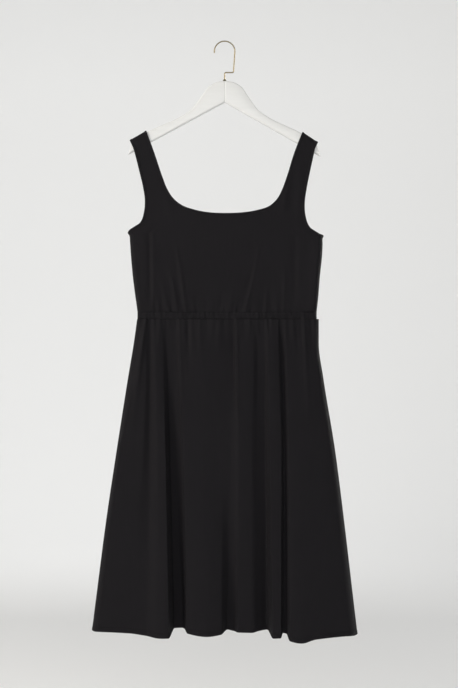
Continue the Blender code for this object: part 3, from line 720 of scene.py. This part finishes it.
def cloth_piece(name, points, quads, uv, material, thickness=WALL, merge=False):
    """A piece of cloth by its outer face, with the wall inwards from there."""
    mesh = mesh_of(name, points, quads, uv)
    finish_mesh(mesh, merge)
    piece = new_piece(name, mesh, material, node=name)
    wall = piece.modifiers.new("wall", "SOLIDIFY")
    wall.thickness = thickness * MM
    wall.offset = -1
    wall.use_even_offset = False
    wall.use_quality_normals = True
    return piece


# Bodice

STRAP_ROWS = np.concatenate([turn_shares(9) * RIDGE_ROUND / STRAP_LENGTH, np.linspace(0.09, 1, 42)])
STRAP_COLUMNS = np.concatenate([0.56 * turn_shares(10), np.linspace(0.61, 1, 9)])
UNDERARM_ROWS = np.append(turn_shares(13) * SEAM_ROUND, np.linspace(35, ARMHOLE_DROP, 28))
ARMHOLE_ROWS = 1 - UNDERARM_ROWS[::-1] / ARMHOLE_DROP
SIDE_ROWS = np.append(np.linspace(0, 0.93, 62)[1:], np.linspace(0.94, 1, 10))
NECK_COLUMNS = 150


def strap_points(left, rows):
    """A strap in the front view: straight across from the armhole edge to the neck edge."""
    shares = rows * NECK_CORNERS[0] if left else 1 - rows * (1 - NECK_CORNERS[1])
    neck = neck_line(shares, PANEL_INSET)
    armhole = armhole_line(left, rows * STRAP_END, PANEL_INSET)
    across = STRAP_COLUMNS[:, None, None]
    return armhole * (1 - across) + neck * across


def side_points(left):
    """The side edge of the body: the lower armhole and then the side seam, as rows and points."""
    armhole = armhole_line(left, STRAP_END + (1 - STRAP_END) * ARMHOLE_ROWS, PANEL_INSET)
    seam = side_seam(left, PANEL_INSET + (side_length(left) - PANEL_INSET) * SIDE_ROWS)
    return np.concatenate([armhole, seam])


def body_points():
    """The body of the bodice in the front view.

    Its top follows the ends of the straps and the neck edge, and its bottom the waist. In between
    each point is the blend of the two by its share of the height, and to this is added how far each
    side edge bows out of its own straight blend, by the cube of the point's share of the width from
    the other side.
    """
    rows = np.append(ARMHOLE_SHARE * ARMHOLE_ROWS, ARMHOLE_SHARE + (1 - ARMHOLE_SHARE) * SIDE_ROWS)
    lefts, rights = side_points(True), side_points(False)
    strap_left = strap_points(True, np.array([1.0]))[:, 0]
    strap_right = strap_points(False, np.array([1.0]))[::-1, 0]
    neck = neck_line(np.linspace(*NECK_CORNERS, NECK_COLUMNS + 1)[1:-1], PANEL_INSET)
    top = np.concatenate([strap_left, neck, strap_right])
    feet = STRAP_FOOT * STRAP_COLUMNS
    middle = np.linspace(STRAP_FOOT, 1 - STRAP_FOOT, NECK_COLUMNS + 1)[1:-1]
    share = np.concatenate([feet, middle, 1 - feet[::-1]])
    bottom = lefts[-1] + share[:, None] * (rights[-1] - lefts[-1])
    v, u = rows[None, :, None], share[:, None, None]
    blend = top[:, None] * (1 - v) + bottom[:, None] * v
    left_bow = lefts - (lefts[0] * (1 - v) + lefts[-1] * v)
    right_bow = rights - (rights[0] * (1 - v) + rights[-1] * v)
    return blend + (1 - u) ** 3 * left_bow + u**3 * right_bow


def make_bodice(name, back, material):
    """A face of the bodice: the grids of two straps and the body, lifted to its surface and joined."""
    parts = []
    for flat in (strap_points(True, STRAP_ROWS), strap_points(False, STRAP_ROWS), body_points()):
        points = bodice_surface(flat, back, SEAM_HALF)
        parts.append((points, grid_quads(*points.shape[:2]), points[..., [0, 2]] * MM))
    return cloth_piece(name, *join(parts), material, merge=True)


# Bands

NECK_SHARES = np.concatenate(
    [
        STRAP_ROWS[:-1] * NECK_CORNERS[0],
        np.linspace(*NECK_CORNERS, NECK_COLUMNS + 1),
        1 - STRAP_ROWS[:-1][::-1] * (1 - NECK_CORNERS[1]),
    ]
)
ARMHOLE_SHARES = np.append(STRAP_ROWS[:-1] * STRAP_END, STRAP_END + (1 - STRAP_END) * ARMHOLE_ROWS)
BAND_GRID = (7, 18)  # rows of the bodice's surface under it, points of its section
BAND_PUCKERS = 0.12  # how much it swells and sinks along its length, as a share of its depth


def make_band(name, line, shares, material):
    """A closed band along the edge of the front, over the shoulder and back.

    Its section is a flat oval. Each point is the bodice's surface at its distance from the edge,
    moved along the normal.
    """
    rows, around = BAND_GRID
    widths = BAND_WIDTH * np.linspace(0, 1, rows)
    flat = np.stack([line(shares, width) for width in widths])
    front = bodice_surface(flat, False, 0.0)
    back = bodice_surface(flat, True, 0.0)
    front[:, [0, -1], 1] = 0
    ring = np.concatenate([front, back[:, -2:0:-1]], axis=1)
    wrapped = np.concatenate([ring[:, -1:], ring, ring[:, :1]], axis=1)
    normals = grid_normals(wrapped)[:, 1:-1]
    turn = full_turn(around)
    share, height = (1 - np.cos(turn)) / 2, np.sign(np.sin(turn)) * np.abs(np.sin(turn)) ** 0.6
    place = share * (rows - 1)
    low = np.clip(place.astype(int), 0, rows - 2)
    part = (place - low)[:, None, None]
    base = ring[low] * (1 - part) + ring[low + 1] * part
    out = unit(normals[low] * (1 - part) + normals[low + 1] * part)
    along = lengths_along(ring, 1)[0]
    puckers = 1 + BAND_PUCKERS * np.sin(along * 0.9) * np.sin(along * 0.23)
    lift = height[:, None] * BAND_DEPTH / 2 * puckers - BAND_SINK
    points = base + out * lift[..., None]
    uv = stacked(share[:, None] * BAND_WIDTH, along) * MM
    quads = grid_quads(*points.shape[:2], ring_columns=True, ring_rows=True)
    return cloth_piece(name, points, quads, uv, material, BAND_WALL)


# Waist casing


def casing_surface(x, below, back):
    """The outer face of the casing at x and at a distance below its top edge.

    To the depth are added the gathers above and below, which run on across it, lower, and change
    from one to the other, and small puckers between them. The stitch rows, as bells, and the round
    upper and lower edges hold it in, and the depth is closed round to the sides.
    """
    width = CASING_TOP - CASING_BOTTOM
    name = "casing_back" if back else "casing_front"
    puckers = small_puckers(name)
    puckers[:, -1] *= CASING_PUCKERS
    depth = CASING_DEPTH[int(back)] + gather_height(x, CASING_PACE * below, puckers, PUCKERS[name][-1])
    share = smooth(below / width)
    parts = (CASING_GATHERS[0] * (1 - share), CASING_GATHERS[1] * share)
    for part, gathers in zip(parts, (BODICE_GATHERS, SKIRT_GATHERS)):
        depth = depth + part * gather_height(x, 0.0, mirrored(gathers) if back else gathers, 0.0)
    held = sum(bell(below - row, 1.0) for row in CASING_STITCHES)
    ends = 1 - closing(np.minimum(below, width - below), CASING_ROUND)
    depth = depth - CASING_HOLD * held - CASING_ROLL * ends
    depth = depth * closing(np.minimum(x - WAIST_LEFT, WAIST_RIGHT - x), SEAM_ROUND)
    return stacked(x, depth if back else -depth, CASING_TOP - below)


def casing_ring(below):
    """The casing's ring at distances below its top edge: along the front and back again."""
    turn = turn_shares(SEAM_TURN) * SEAM_ROUND
    middle = np.linspace(WAIST_LEFT + SEAM_ROUND, WAIST_RIGHT - SEAM_ROUND, CASING_GRID[1])[1:-1]
    columns = np.concatenate([WAIST_LEFT + turn, middle, WAIST_RIGHT - turn[::-1]])
    x, below = np.broadcast_arrays(columns[:, None], below[None, :])
    return np.concatenate([casing_surface(x, below, False), casing_surface(x, below, True)[-2:0:-1]])


def make_casing(material):
    """The casing: its rings of points at equal distances below the top edge, as one closed ring."""
    below = (CASING_TOP - CASING_BOTTOM - 0.1) * np.linspace(0, 1, CASING_GRID[0])
    ring = casing_ring(below)
    closed = np.concatenate([ring, ring[:1]])
    uv = stacked(lengths_along(closed, 0)[:-1], closed[:-1, :, 2]) * MM
    quads = grid_quads(*ring.shape[:2], ring_columns=True)
    return cloth_piece("waist_casing", ring, quads, uv, material, CASING_WALL)


# Skirt

SKIRT_ROWS = np.concatenate(
    [np.linspace(0, 12, 8), np.linspace(16, 120, 27), np.linspace(127, 686, 80), np.linspace(690, 712, 12)]
) / 713.0
SKIRT_HEIGHTS = (1 - SKIRT_ROWS) * (CASING_BOTTOM - HEM_CENTRE)  # of the rows, above the hem
HEM_PANEL_ROWS = 6  # rows of the panel that the turned hem lies behind
COLUMN_SPACING = np.array([1.7, 2.2, 2.9, 3.6])  # of the skirt's grid, at FOLD_HEIGHTS


def skirt_columns(folds):
    """Columns as fold numbers, no further apart at each height than COLUMN_SPACING.

    The outer two folds turn round the seam.
    """
    steps = np.linalg.norm(np.diff(fold_places(folds), axis=0), axis=-1)
    counts = np.maximum(2, np.round((steps / COLUMN_SPACING).max(axis=1))).astype(int)
    last = len(folds) - 1
    turn = turn_shares(SEAM_TURN)[:-1]
    middle = [number + np.arange(counts[number]) / counts[number] for number in range(1, last - 1)]
    return np.concatenate([turn, *middle, [last - 1], last - turn[::-1]])


def hem_relief(height, across):
    """Lift of the outer face at a height above the hem.

    The cloth is double below the stitching, which lies in a groove, and it ripples a little.
    """
    band = HEM_LIFT * smooth((HEM_STITCH + 1.2 - height) / 2.0)
    groove = HEM_GROOVE * bell(height - HEM_STITCH, 1.1)
    ripple = HEM_RIPPLE * np.sin(across * 0.55) * np.sin(across * 0.171 + 1) * smooth((16 - height) / 12)
    return band - groove + ripple


def with_hem(points):
    """The panel with its hem: round a half circle at the lower edge and up the inside."""
    normals = grid_normals(points)
    across = lengths_along(points, 0)[:, -1:]
    points = points + normals * hem_relief(SKIRT_HEIGHTS, across)[..., None]
    normals = grid_normals(points)
    down = unit(points[:, -1:] - points[:, -2:-1])
    turn = np.radians(np.linspace(0, 180, 8)[1:])[None, :, None]
    edge = points[:, -1:] + HEM_ROUND * (np.sin(turn) * down - (1 - np.cos(turn)) * normals[:, -1:])
    inside = (points - 2 * HEM_ROUND * normals)[:, -2 : -2 - HEM_PANEL_ROWS : -1]
    return np.concatenate([points, edge, inside], axis=1)


def make_skirt(name, folds, gathers, material):
    """The panel, and the grid of its outer face for the stitching."""
    surface = skirt_surface(folds, gathers, skirt_columns(folds), SKIRT_ROWS)
    points = with_hem(surface)
    across = lengths_along(points, 0)
    across = across - across[len(across) // 2]
    uv = stacked(across, points[..., 2]) * MM
    return cloth_piece(name, points, grid_quads(*points.shape[:2]), uv, material), surface


# Stitching


def stitch_row(line, normals):
    """(points, quads, uv) of a row of stitches along a line.

    Each is a slim bead, a flat oval in section that swells towards its middle.
    """
    reach = lengths_along(line, 0)
    count = int(reach[-1] / (STITCH_LENGTH + STITCH_GAP))
    centres = (np.arange(count) + 0.5) * reach[-1] / count

    def at(values, where):
        """The values at these distances along the line, evenly between its points."""
        return stacked(*(np.interp(where, reach, values[:, k]) for k in range(3)))

    middle = at(line, centres)
    tangent = unit(at(line, centres + 0.5) - at(line, centres - 0.5))
    normal = unit(at(normals, centres))
    side = np.cross(normal, tangent)
    rings, around = STITCH_GRID
    t = np.linspace(-1, 1, rings)[None, :, None, None]
    a = full_turn(around)[None, None, :, None]
    swell = np.sqrt(np.clip(1.03 - t * t, 0, 1))
    tangent, normal, side = (v[:, None, None, :] for v in (tangent, normal, side))
    points = middle[:, None, None, :] + tangent * t * STITCH_LENGTH / 2
    points = points + swell * STITCH_WIDTH * (1.3 * side * np.cos(a) + normal * np.sin(a))
    one = np.concatenate([grid_quads(rings, around, ring_rows=True), STITCH_ENDS])
    quads = (one[None] + rings * around * np.arange(count)[:, None, None]).reshape(-1, 4)
    return points, quads, np.zeros((points.size // 3, 2))


def make_stitches(name, rows, material):
    """One piece of all the stitches of these (line, normals) rows."""
    mesh = mesh_of(name, *join([stitch_row(*row) for row in rows]))
    finish_mesh(mesh)
    return new_piece(name, mesh, material)


def casing_stitches(material):
    """The stitch rows round the casing: its ring at each row's distance, with the normals there."""
    step = 0.5
    rows = []
    for at in CASING_STITCHES:
        ring = casing_ring(np.array([at - step, at, at + step]))
        closed = np.concatenate([ring[-1:], ring, ring[:2]])
        normals = grid_normals(closed)[1:-1, 1]
        rows.append((closed[1:-1, 1] + 0.1 * normals, normals))
    return make_stitches("casing_stitches", rows, material)


def hem_stitches(name, surface, material):
    """The stitching of the hem: the row of the panel's grid nearest that height, with its normals."""
    row = np.argmin(np.abs(SKIRT_HEIGHTS - HEM_STITCH))
    normals = grid_normals(surface)[:, row]
    return make_stitches(name, [(surface[:, row] + 0.05 * normals, normals)], material)


# Hanger


def make_arm(name, side, material):
    """One half of the hanger: round-edged sections from the joint in the middle to the round tip."""
    table = np.array(ARM_TOP)
    end = table[-1, 0]
    x = np.concatenate([JOINT_START, np.linspace(1.5, end - ARM_TIP, 110)[:-1]])
    x = np.append(x, end - ARM_TIP + ARM_TIP * np.sin(np.linspace(0, math.pi / 2, 12)))
    top = steady(table[:, 0], table[:, 1], x)
    underside = ARM_UNDERSIDE + ARM_SLOPE * x
    left = np.clip((x - (end - ARM_TIP)) / ARM_TIP, 0, 0.999)
    ease = np.exp(-x / JOINT_REACH)
    half = ARM_THICKNESS / 2 * np.sqrt(1 - left**2) - JOINT_EASE[0] * ease
    full = (top - underside) * np.sqrt(1 - TIP_SHARE * left**2)
    height = full - JOINT_EASE[1] * ease
    middle = underside + full / 2
    radius = np.minimum(ARM_ROUND, 0.49 * np.minimum(2 * half, height))
    turn = (np.arange(ARM_AROUND) + 0.5) * 2 * math.pi / ARM_AROUND
    y, z = np.cos(turn), np.sin(turn)
    ring_y = np.sign(y) * (half - radius)[:, None] + radius[:, None] * y
    ring_z = middle[:, None] + np.sign(z) * (height / 2 - radius)[:, None] + radius[:, None] * z
    ring_x = side * x[:, None]
    cosine, sine = math.cos(HANGER_TILT), math.sin(HANGER_TILT)
    tilted_x = HANGER_MIDDLE[0] + ring_x * cosine + ring_z * sine
    points = stacked(tilted_x, ring_y, HANGER_MIDDLE[1] - ring_x * sine + ring_z * cosine)
    return new_piece(name, capped_tube(name, points), material, node=name, slot="lacquered_wood")


def capped_tube(name, rings):
    """A closed body from rings of points: quads along it, and a fan of triangles over each end."""
    stations, around = rings.shape[:2]
    quads = grid_quads(stations, around, ring_rows=True)
    ends = rings[[0, -1]].mean(axis=1)
    points = np.concatenate([rings.reshape(-1, 3), ends])
    ring = np.arange(around)
    first = stacked(ring, np.roll(ring, -1), stations * around)
    last = first + (stations - 1) * around
    last[:, 2] = stations * around + 1
    mesh = mesh_of(name, points, quads.tolist() + first.tolist() + last.tolist())
    mesh.set_sharp_from_angle(angle=math.radians(55))
    finish_mesh(mesh)
    return mesh


def arc(centre, radius, start, end, count):
    """Points (x, z) on an arc, with angles in degrees from +X towards +Z."""
    turn = np.radians(np.linspace(start, end, count))
    return stacked(centre[0] + radius * np.cos(turn), centre[1] + radius * np.sin(turn))


def make_hook(material):
    """The wire: up from its foot, a crank to the right, straight up, and over in half a circle.

    A circle is carried along the path, and the open end is rounded like a half ball.
    """
    rise = HOOK_RADIUS - WIRE_RADIUS
    foot = ferrule_high[2] + 0.1
    corner = -JOG_HEIGHT + JOG_ROUND
    tip = -rise - HOOK_DROP
    path = np.concatenate(
        [
            np.linspace((0.0, foot), (0.0, -JOG_HEIGHT - JOG_ROUND), 7)[:-1],
            arc((JOG_ROUND, -JOG_HEIGHT - JOG_ROUND), JOG_ROUND, 180, 90, 10),
            arc((JOG_REACH - JOG_ROUND, corner), JOG_ROUND, -90, 0, 10),
            np.linspace((JOG_REACH, corner), (HOOK_RADIUS, -rise), 14)[1:-1],
            arc((0.0, -rise), HOOK_RADIUS, 0, 180, 61),
            np.linspace((-HOOK_RADIUS, -rise), (-HOOK_RADIUS, tip + WIRE_RADIUS), 4)[1:],
        ]
    )
    ball = np.radians(np.linspace(15, 86, 6))
    rounding = stacked(-HOOK_RADIUS, tip + WIRE_RADIUS * (1 - np.sin(ball)))
    radius = np.append(np.full(len(path), WIRE_RADIUS), WIRE_RADIUS * np.cos(ball))
    path = np.concatenate([path, rounding])
    along = unit(np.gradient(path, axis=0))
    across = stacked(along[:, 1], 0.0, -along[:, 0])
    turn = full_turn(20)[None, :, None]
    centre = stacked(path[:, 0], 0.0, path[:, 1])[:, None]
    forward = np.array([0.0, 1.0, 0.0])
    rings = centre + radius[:, None, None] * (np.cos(turn) * across[:, None] + np.sin(turn) * forward)
    return new_piece("hook", capped_tube("hook", rings), material, node="hook", slot="brass_wire")


def make_ferrule(material):
    """The hook's foot: its profile of a low flange with a round edge and a short collar, turned."""
    low, high = ferrule_low[2], ferrule_high[2]
    radius, height = np.array(FERRULE_PROFILE).T
    mesh = capped_tube("hook_ferrule", turned(ferrule_high[0] * radius, low + (high - low) * height, 40))
    return new_piece("hook_ferrule", mesh, material, node="hook_ferrule", slot="brass_wire")


def turned(radius, height, count):
    """The rings of points of a body turned about the hook's axis."""
    turn = full_turn(count)
    radius, height = radius[:, None], height[:, None]
    return stacked(radius * np.cos(turn), radius * np.sin(turn), height)


# Materials


def linear(colour):
    """Linear red, green, blue and 1 from an sRGB hex colour."""
    parts = [int(colour[i : i + 2], 16) / 255 for i in (0, 2, 4)]
    return tuple(((c + 0.055) / 1.055) ** 2.4 if c > 0.04045 else c / 12.92 for c in parts) + (1.0,)


def new_material(name):
    """A material, with its node tree and its shader."""
    material = bpy.data.materials.new(name)
    material.use_nodes = True
    return material, material.node_tree, material.node_tree.nodes["Principled BSDF"]


def set_inputs(made, **inputs):
    """Sets a node's input values by socket name."""
    for key, value in inputs.items():
        made.inputs[key.replace("_", " ")].default_value = value


def node(tree, kind, links=None, settings=None, **inputs):
    """Adds a node. settings are its properties, inputs its values by socket name, and links its sources."""
    made = tree.nodes.new("ShaderNode" + kind)
    for key, value in (settings or {}).items():
        setattr(made, key, value)
    set_inputs(made, **inputs)
    for key, source in (links or {}).items():
        tree.links.new(source, made.inputs[key])
    return made


def jersey(name):
    """Viscose jersey, weft-knitted and dyed black: matt with a faint sheen.

    Columns of stitches run down the cloth, 0.4 mm apart, as fine ribs. Uneven yarn breaks them up in
    streaks about 4 mm wide and 70 mm long, and the dye varies over patches of about 110 mm.
    """
    material, tree, shader = new_material(name)
    cloth = node(tree, "TexCoord").outputs["UV"]
    ribs = node(tree, "Mapping", {"Vector": cloth}, Scale=(157.0, 40.0, 1.0)).outputs[0]
    wave = node(tree, "TexWave", {"Vector": ribs}, {"bands_direction": "X"}, Distortion=2.0, Detail=1.0)
    stretched = node(tree, "Mapping", {"Vector": cloth}, Scale=(260.0, 14.0, 1.0)).outputs[0]
    yarn = node(tree, "TexNoise", {"Vector": stretched}, Scale=1.0, Detail=3.0).outputs["Fac"]
    patches = node(tree, "TexNoise", {"Vector": cloth}, Scale=9.0, Detail=2.0).outputs["Fac"]
    tone = node(tree, "MapRange", {"Value": yarn}, From_Min=0.3, From_Max=0.7, To_Min=0.25, To_Max=0.75)
    both = node(tree, "Mix", {"A": tone.outputs[0], "B": patches}, Factor=0.35)
    colour = node(tree, "Mix", {"Factor": both.outputs[0]}, {"data_type": "RGBA"})
    colour.inputs[6].default_value = linear("0f0d10")
    colour.inputs[7].default_value = linear("161417")
    tree.links.new(colour.outputs[2], shader.inputs["Base Color"])
    lift = node(tree, "Mix", {"A": wave.outputs["Fac"], "B": yarn}, Factor=0.5)
    bump = node(tree, "Bump", {"Height": lift.outputs[0]}, Strength=0.25, Distance=0.0004)
    tree.links.new(bump.outputs[0], shader.inputs["Normal"])
    set_inputs(shader, Roughness=0.78, Specular_IOR_Level=0.15, Sheen_Weight=0.006, Sheen_Roughness=0.45)
    return material


def thread():
    """Spun polyester sewing thread: black and matt, and its twist shows as specks of 0.7 mm."""
    material, tree, shader = new_material("black_thread")
    place = node(tree, "TexCoord").outputs["Object"]
    twist = node(tree, "TexNoise", {"Vector": place}, Scale=1500.0, Detail=1.0).outputs["Fac"]
    colour = node(tree, "Mix", {"Factor": twist}, {"data_type": "RGBA"})
    colour.inputs[6].default_value = linear("0b0b0c")
    colour.inputs[7].default_value = linear("161617")
    tree.links.new(colour.outputs[2], shader.inputs["Base Color"])
    set_inputs(shader, Roughness=0.7, Specular_IOR_Level=0.15)
    return material


def lacquer():
    """Beech, sprayed with white satin lacquer: smooth, and the grain shows through faintly.

    The grain is about 80 mm long and 6 mm wide, and the film is uneven over about 17 mm.
    """
    material, tree, shader = new_material("white_lacquer")
    place = node(tree, "TexCoord").outputs["Object"]
    along = node(tree, "Mapping", {"Vector": place}, Rotation=(0.0, 0.5, 0.0), Scale=(12.0, 160.0, 160.0))
    grain = node(tree, "TexNoise", {"Vector": along.outputs[0]}, Scale=1.0, Detail=3.0).outputs["Fac"]
    film = node(tree, "TexNoise", {"Vector": place}, Scale=60.0, Detail=2.0).outputs["Fac"]
    colour = node(tree, "Mix", {"Factor": grain}, {"data_type": "RGBA"})
    colour.inputs[6].default_value = linear("d3d3d1")
    colour.inputs[7].default_value = linear("dcdcda")
    tree.links.new(colour.outputs[2], shader.inputs["Base Color"])
    height = node(tree, "Mix", {"A": grain, "B": film}, Factor=0.4)
    bump = node(tree, "Bump", {"Height": height.outputs[0]}, Strength=0.15, Distance=0.0004)
    tree.links.new(bump.outputs[0], shader.inputs["Normal"])
    rough = node(tree, "MapRange", {"Value": film}, To_Min=0.26, To_Max=0.36)
    tree.links.new(rough.outputs[0], shader.inputs["Roughness"])
    set_inputs(shader, Coat_Weight=0.3, Coat_Roughness=0.15)
    return material


def brass(name, colour, rough):
    """Brass-plated steel, drawn smooth: fine marks of 1.4 mm and slightly uneven gloss."""
    material, tree, shader = new_material(name)
    place = node(tree, "TexCoord").outputs["Object"]
    marks = node(tree, "TexNoise", {"Vector": place}, Scale=700.0, Detail=2.0).outputs["Fac"]
    set_inputs(shader, Base_Color=linear(colour), Metallic=1.0)
    gloss = node(tree, "MapRange", {"Value": marks}, To_Min=rough - 0.06, To_Max=rough + 0.1)
    tree.links.new(gloss.outputs[0], shader.inputs["Roughness"])
    bump = node(tree, "Bump", {"Height": marks}, Strength=0.08, Distance=0.0002)
    tree.links.new(bump.outputs[0], shader.inputs["Normal"])
    return material


def floor_paint():
    """Matt emulsion, near white."""
    material, _, shader = new_material("pale_floor")
    set_inputs(shader, Base_Color=linear("f4f4f3"), Roughness=0.9)
    return material


# Stage


def make_floor(material):
    """A round floor with a cove that rises all round far away, turned from one profile, in metres."""
    turn = np.linspace(0, math.pi / 2, 24)
    cove = COVE_RADIUS - COVE_RISE + COVE_RISE * np.sin(turn)
    radius = np.concatenate([FLOOR_RADII, cove, [COVE_RADIUS]])
    height = np.concatenate([np.zeros(len(FLOOR_RADII)), COVE_RISE * (1 - np.cos(turn)), [WALL_TOP]])
    rings = turned(radius, height + FLOOR_HEIGHT, 72)
    mesh = mesh_of("floor", rings / MM, grid_quads(*rings.shape[:2], ring_rows=True))
    finish_mesh(mesh, merge=True)
    mesh.materials.append(material)
    floor = new_object("floor", mesh)


def add_light(name, place, target, size, power, colour, spread):
    """A round lamp turned to the target."""
    light = bpy.data.lights.new(name, "AREA")
    light.shape = "DISK"
    light.size = size
    light.energy = power
    light.color = linear(colour)[:3]
    light.spread = math.radians(spread)
    x, y, z = np.subtract(target, place)
    lamp = new_object(name, light, place, (math.atan2(math.hypot(x, y), -z), 0, math.atan2(-x, y)))
    lamp.visible_camera = False


def light_scene():
    """A soft key low on the left, which grazes the folds, weak lights from the front, the right and
    behind on the right, one turned to the backdrop behind, and a pale world."""
    for light in LIGHTS:
        add_light(*light)
    world = bpy.data.worlds.new("pale_room")
    world.use_nodes = True
    set_inputs(world.node_tree.nodes["Background"], Color=linear("f2f3f5"), Strength=0.52)
    bpy.context.scene.world = world
    bpy.context.scene.view_settings.view_transform = "Standard"


def make_camera():
    """Level, in front of the middle of the dress, as far away as its size in the view needs."""
    data = bpy.data.cameras.new("camera")
    data.sensor_width = 36.0
    data.lens = data.sensor_width / 2 / HALF_VIEW
    bpy.context.scene.camera = new_object("camera", data, CAMERA, (math.pi / 2, 0, 0))


# The whole


def make_dress():
    """Every piece of the dress."""
    cloth, rib, sewing = jersey("black_jersey"), jersey("black_jersey_band"), thread()
    front = make_bodice("bodice_front", False, cloth)
    back = make_bodice("bodice_back", True, cloth)
    neck = make_band("neck_band", neck_line, NECK_SHARES, rib)
    armholes = [
        make_band(name, functools.partial(armhole_line, left), ARMHOLE_SHARES, rib)
        for name, left in (("armhole_band_left", True), ("armhole_band_right", False))
    ]
    casing = make_casing(rib)
    waist_thread = casing_stitches(sewing)
    skirts = (
        ("skirt_front", FRONT_FOLDS, SKIRT_GATHERS),
        ("skirt_back", BACK_FOLDS, mirrored(SKIRT_GATHERS)),
    )
    for name, folds, gathers in skirts:
        skirt, surface = make_skirt(name, folds, [*gathers, *small_puckers(name)], cloth)
        hem = hem_stitches(name.replace("skirt", "hem_stitches"), surface, sewing)


def make_hanger():
    """The two arms, the hook and its foot."""
    paint = lacquer()
    make_arm("hanger_arm_left", -1, paint)
    make_arm("hanger_arm_right", 1, paint)
    make_hook(brass("brass_wire", "91856a", 0.42))
    make_ferrule(brass("dark_brass", "767258", 0.45))


make_camera()
light_scene()
make_floor(floor_paint())
make_dress()
make_hanger()
